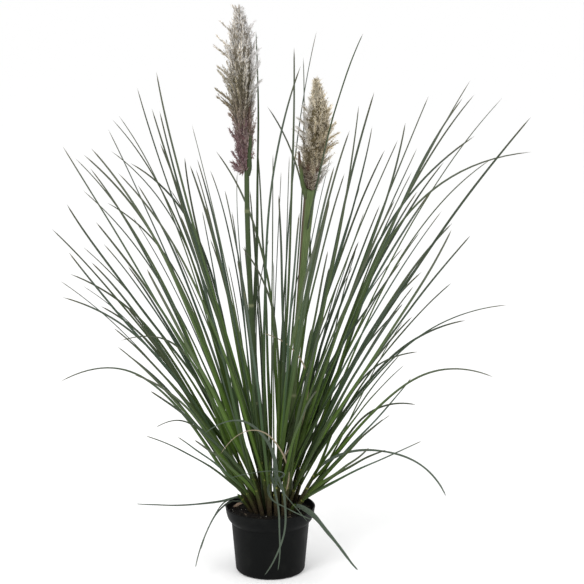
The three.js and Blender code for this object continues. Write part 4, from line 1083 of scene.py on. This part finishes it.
def plume_branches(shape, spec, axis, tall, chance):
    """Branches all round that fill a plume's outline."""
    for i in range(spec["branches"]):
        angle = GOLDEN_ANGLE * i + chance.uniform(-0.5, 0.5)
        out = np.array([math.cos(angle), math.sin(angle), 0])
        end = min(1.0, 0.06 + 0.97 * (i + chance.random()) / spec["branches"])
        uneven = 1 + 0.1 * math.sin(3 * angle + 9 * end) + 0.07 * math.sin(5 * angle - 23 * end)
        layer = uneven * (0.72 + 0.38 * math.sqrt(chance.random()))
        reach = spec["length"] * chance.uniform(0.75, 1.3)
        start = max(CORE_FROM, end - reach / tall)
        tip = axis.points(end)[0] + out * layer * value_at(spec["outline"], end)
        root = axis.points(start)[0] + out * 0.85 * INSIDE * value_at(spec["outline"], start)
        rise = np.linalg.norm(tip - root)
        along = axis.tangents(start)[0]
        tilt = chance.uniform(*spec["spread"]) * layer
        last = along * math.cos(tilt) + out * math.sin(tilt)
        curve = Bezier([root, root + (along + 0.25 * out) * 0.35 * rise, tip - last * 0.35 * rise, tip])
        plume_branch(shape, spec, curve, chance, end, out, 0.8, 1)


def plume_strays(shape, spec, axis, tall, chance):
    """Loose branches that stand out from a plume."""
    bottom = spec["axis"][0][2]
    for stray in spec["strays"]:
        tip = np.array(stray, float)
        start = max((tip[2] - STRAY_SHARE * spec["length"] - bottom) / tall, -0.01)
        centre = axis.points(start)[0]
        out = unit(np.array([tip[0] - centre[0], tip[1] - centre[1], 0]))
        root = centre + out * 3
        rise = np.linalg.norm(tip - root)
        last = unit(unit(tip - root) + 0.35 * out)
        height = min(1, max(0, (tip[2] - bottom) / tall))
        for strand in range(STRANDS):
            foot = root + (0, 0, STRAND_STEP * strand)
            end = tip + chance.normal(0, STRAND_SPREAD, 3)
            curve = Bezier([foot, foot + axis.tangents(start)[0] * 0.4 * rise, end - last * 0.35 * rise, end])
            plume_branch(shape, spec, curve, chance, height, out, 2.2, spec["bushy"])


def plume_piece(spec, material):
    shape = Shape(columns=128)
    chance = np.random.default_rng(11)
    axis = Bezier(spec["axis"])
    tall = spec["axis"][3][2] - spec["axis"][0][2]
    plume_core(shape, spec, axis, tall)
    plume_fleece(shape, spec, axis, chance)
    plume_branches(shape, spec, axis, tall, chance)
    plume_strays(shape, spec, axis, tall, chance)
    return shape.mesh(spec["name"], material, spec["slot"])


# ---- Pot, soil and dead leaf ----


def turned_rings(profile, sides):
    """A ring of points round Z for each (radius, height) row."""
    radius, height = np.array(profile, float).T[:, :, None]
    angles = around(sides)
    return np.stack([radius * np.cos(angles), radius * np.sin(angles), height + 0 * angles], axis=2)


def lathe(name, profile, sides):
    """A closed mesh turned round Z from (radius, height) rows that start and end on the axis."""
    rings = turned_rings(profile[1:-1], sides).reshape(-1, 3)
    points = np.vstack([(0, 0, profile[0][1]), rings, (0, 0, profile[-1][1])])
    last = len(rings) - sides + 1
    faces = []
    for i in range(sides):
        j = (i + 1) % sides
        faces.append((0, 1 + j, 1 + i))
        faces += [(a + i, a + j, a + sides + j, a + sides + i) for a in range(1, last, sides)]
        faces.append((last + i, last + j, len(points) - 1))
    data = bpy.data.meshes.new(name)
    data.from_pydata((points * MM).tolist(), [], faces)
    data.shade_smooth()
    return data


def rounded(centre, radius, start, end, steps):
    """An arc of a profile, from one angle to another in degrees."""
    angles = np.radians(np.linspace(start, end, steps))
    return [(centre[0] + radius * math.cos(a), centre[1] + radius * math.sin(a)) for a in angles]


def pot_profile():
    edge = BOTTOM_EDGE_RADIUS
    collar = POT_HEIGHT - COLLAR_HEIGHT
    profile = [(0, 0), (20, 0), (40, 0), (58, 0)]
    profile += rounded((BODY_BOTTOM_RADIUS - edge, edge), edge, -90, 0, 9)
    profile += [(BODY_TOP_RADIUS - 4, collar - 45), (BODY_TOP_RADIUS - 0.1, collar - 1)]
    profile += [(BODY_TOP_RADIUS + step, collar + step) for step in (0, COLLAR_STEP, 2.4)]
    profile += [(RIM_RADIUS - inward, POT_HEIGHT - down) for inward, down in COLLAR_CURVE]
    profile += rounded((RIM_RADIUS - LIP_RADIUS, POT_HEIGHT - LIP_RADIUS), LIP_RADIUS, 0, 180, 9)
    profile.append((RIM_RADIUS - 3.4, POT_HEIGHT - 4))
    profile.append((RIM_RADIUS - COLLAR_INSET - WALL, POT_HEIGHT - COLLAR_DROP))
    profile += [(BODY_TOP_RADIUS - WALL, collar), (BODY_BOTTOM_RADIUS - WALL, edge + WALL)]
    return [*profile, (BODY_BOTTOM_RADIUS - edge, WALL), (0, WALL)]


def pot_piece(material):
    """The turned pot with its drain holes cut."""
    shell = bpy.data.objects.new("pot_rough", lathe("pot_rough", pot_profile(), POT_SIDES))
    bpy.context.scene.collection.objects.link(shell)
    drills = []
    for angle in around(DRAIN_HOLES):
        bpy.ops.mesh.primitive_cylinder_add(vertices=32, radius=DRAIN_RADIUS * MM, depth=4 * WALL * MM)
        drills.append(bpy.context.object)
        drills[-1].location = Vector((math.cos(angle), math.sin(angle), 0)) * DRAIN_CIRCLE * MM
        drills[-1].rotation_euler = (0, 0, angle + DRAIN_TURN)
        cut = shell.modifiers.new("drain", "BOOLEAN")
        cut.object = drills[-1]
        cut.solver = "EXACT"
    bpy.context.view_layer.update()
    seen = shell.evaluated_get(bpy.context.evaluated_depsgraph_get())
    data = bpy.data.meshes.new_from_object(seen)
    for made in (*drills, shell):
        bpy.data.objects.remove(made)
    data.name = "pot_fine"
    data.materials.clear()
    data.set_sharp_from_angle(angle=math.radians(38))
    return placed(data, "pot", material)


def crumbs(shape, chance, number, sizes, breadths, kind, bed):
    """Angular lumps that lie on the soil, each in a cell of its own of the map."""
    golden = (1 + math.sqrt(5)) / 2
    corners = [np.roll((a, b, 0), shift) for shift in range(3) for b in (golden, -golden) for a in (-1, 1)]
    corners = np.array(corners) / math.hypot(1, golden)
    faces = np.array([
        (0, 11, 5), (0, 5, 1), (0, 1, 7), (0, 7, 10), (0, 10, 11), (1, 5, 9), (5, 11, 4), (11, 10, 2),
        (10, 7, 6), (7, 1, 8), (3, 9, 4), (3, 4, 2), (3, 2, 6), (3, 6, 8), (3, 8, 9), (4, 9, 5), (2, 4, 11),
        (6, 2, 10), (8, 6, 7), (9, 8, 1),
    ])
    for _ in range(number):
        radius = bed * math.sqrt(chance.random())
        angle = chance.uniform(0, 2 * math.pi)
        size = chance.uniform(*sizes)
        scale = size * np.array([1, chance.uniform(*breadths), chance.uniform(*breadths) * 0.7])
        lump = corners * scale * chance.uniform(0.75, 1.15, (len(corners), 1))
        turn, tip = chance.uniform(0, 2 * math.pi), chance.uniform(-0.4, 0.4)
        lump = lump @ np.array(Matrix.Rotation(tip, 3, "Y") @ Matrix.Rotation(-turn, 3, "Z"))
        x, y = radius * math.cos(angle), radius * math.sin(angle)
        centre = (x, y, SOIL_HEIGHT + soil_relief(x, y) + 0.35 * scale[2])
        values = np.tile((0, 0, chance.random(), kind), (len(corners), 1))
        shape.add(lump + centre, faces, values, np.tile([(0, 0), (1, 0), (0.5, 1)], (len(faces), 1)))


def soil_relief(x, y):
    """Height of the soil's surface above SOIL_HEIGHT."""
    return sum(
        height * noise.noise(Vector((x * scale, y * scale, place))) for height, scale, place in SOIL_SWELLS
    )


def soil_piece(material):
    gap = WALL + SOIL_GAP
    widest = RIM_RADIUS - COLLAR_INSET - gap
    flare = COLLAR_INSET / (COLLAR_DROP - 1)
    edge = widest + flare * (SOIL_HEIGHT - POT_HEIGHT + COLLAR_DROP)
    profile = [
        (BODY_BOTTOM_RADIUS - BOTTOM_EDGE_RADIUS, gap),
        (BODY_BOTTOM_RADIUS - gap, BOTTOM_EDGE_RADIUS + gap),
        (BODY_TOP_RADIUS - gap, POT_HEIGHT - COLLAR_HEIGHT),
        (widest, POT_HEIGHT - COLLAR_DROP),
        *((radius, SOIL_HEIGHT) for radius in np.linspace(edge, 2, SOIL_RINGS)),
    ]
    rings = turned_rings(profile, SOIL_SIDES)
    for place in rings[-SOIL_RINGS:].reshape(-1, 3):
        place[2] += soil_relief(place[0], place[1])
    shape = Shape(columns=34)
    shape.tube(rings, (0, 0, 0, 0))
    chance = np.random.default_rng(5)
    for kind, (number, sizes, breadths) in enumerate(CRUMBS, 1):
        crumbs(shape, chance, number, sizes, breadths, kind, edge - BED_MARGIN)
    return shape.mesh("soil", material, "soil")


def dead_leaf_piece(material):
    """A curled scrap that lies on the soil by the rim."""
    t = np.linspace(0, 1, DEAD_LEAF_ROWS)[:, None]
    s = np.linspace(-1, 1, DEAD_LEAF_COLUMNS)[None]
    angle = np.radians(DEAD_LEAF["from"] + (DEAD_LEAF["to"] - DEAD_LEAF["from"]) * t)
    radius = DEAD_LEAF["radius"] + s * DEAD_LEAF["width"] / 2 * np.sin(math.pi * (0.15 + 0.7 * t))
    wave = 0.5 * np.sin(11 * t + 1.1) + 0.4 * np.sin(23 * t + 2 * s)
    height = DEAD_LEAF["height"] + 0.3 + 1.5 * s * s * (0.6 + 0.4 * np.sin(7 * t)) + 0.5 * wave
    upper = np.stack([radius * np.cos(angle), radius * np.sin(angle), height], axis=2)
    lower = upper - (0, 0, 0.35)
    values = np.stack([t + 0 * s, 0 * t + s, 0 * t * s, 0 * t * s], axis=2)
    shape = Shape()
    rings = np.concatenate([lower, upper[:, ::-1]], axis=1)
    shape.tube(rings, np.concatenate([values, values[:, ::-1]], axis=1), own_sides=DEAD_LEAF_COLUMNS - 1)
    return shape.mesh("dead_leaf", material, "dead_leaf")


# ---- The whole plant ----

tillers = [planned_tiller(f"tiller_{number:02d}", *row) for number, row in enumerate(TILLERS, 1)]
for tiller in tillers:
    stand(tiller["name"], tiller["axis"].points([0, 0.35, 0.7, 1]), [tiller["girth"]] * 4)
rim = turned_rings([(RIM_RADIUS - 1, POT_HEIGHT - 2)], 24)[0]
stand("pot", [*rim, rim[0]], [2.5] * 25)
steps = np.linspace(0, 1, STAND_STEPS + 1)
for culm, plume in zip(CULMS, PLUMES):
    stand(culm["name"], Bezier(culm["axis"]).points(steps), value_at(culm["girth"], steps) + 0.5)
    stand(plume["name"], Bezier(plume["axis"]).points(steps), value_at(plume["outline"], steps) + BRANCH_PAST)
flags = [flag_leaf(culm) for culm in CULMS]
steps = np.arange(FLAG_STEPS + 1) / FLAG_STEPS
for culm, (curve, _) in zip(CULMS, flags):
    stand(culm["name"], curve.points(steps), blade_width(culm["flag"]["width"], steps) / 2)

leaf_paint = leaf_material()
for tiller in tillers:
    tiller_piece(tiller, leaf_paint)
for culm, flag, paint in zip(CULMS, flags, (culm_material("dark_culm", 0.65), culm_material("culm", 0.0))):
    culm_piece(culm, flag, paint)
plume_piece(PLUMES[0], silver_plume_material())
plume_piece(PLUMES[1], golden_plume_material())
pot_piece(pot_material())
soil_piece(soil_material())
dead_leaf_piece(dead_leaf_material())

# ---- Floor, light and camera ----

bpy.ops.mesh.primitive_plane_add(size=240)
floor = bpy.context.object
floor.name = "floor"
floor.data.materials.append(Paint("floor", Base_Color=(0.95, 0.95, 0.95), Roughness=0.95).material)


def put(name, data, place, rotation):
    made = bpy.data.objects.new(name, data)
    made.location = place
    made.rotation_euler = rotation
    bpy.context.scene.collection.objects.link(made)
    return made


def lamp(name, place, target, size, power):
    light = bpy.data.lights.new(name, "AREA")
    light.shape = "DISK"
    light.size = size
    light.energy = power
    put(name, light, place, (Vector(target) - Vector(place)).to_track_quat("-Z", "Y").to_euler())


lamp("key", (-1.6, -2.6, 2.6), (0, 0, 0.6), 1.6, 62)
lamp("fill", (2.4, -2.0, 1.4), (0, 0, 0.5), 2.0, 26)
world = bpy.data.worlds.new("studio")
world.use_nodes = True
world.node_tree.nodes["Background"].inputs["Color"].default_value = (1, 1, 1, 1)
world.node_tree.nodes["Background"].inputs["Strength"].default_value = 1.05
bpy.context.scene.world = world
bpy.context.scene.view_settings.view_transform = "Standard"

lens = bpy.data.cameras.new("camera")
lens.lens = LENS
lens.sensor_width = 36
lens.clip_end = 300
bpy.context.scene.camera = put("camera", lens, CAMERA_PLACE, (math.radians(90 - CAMERA_DOWN), 0, 0))
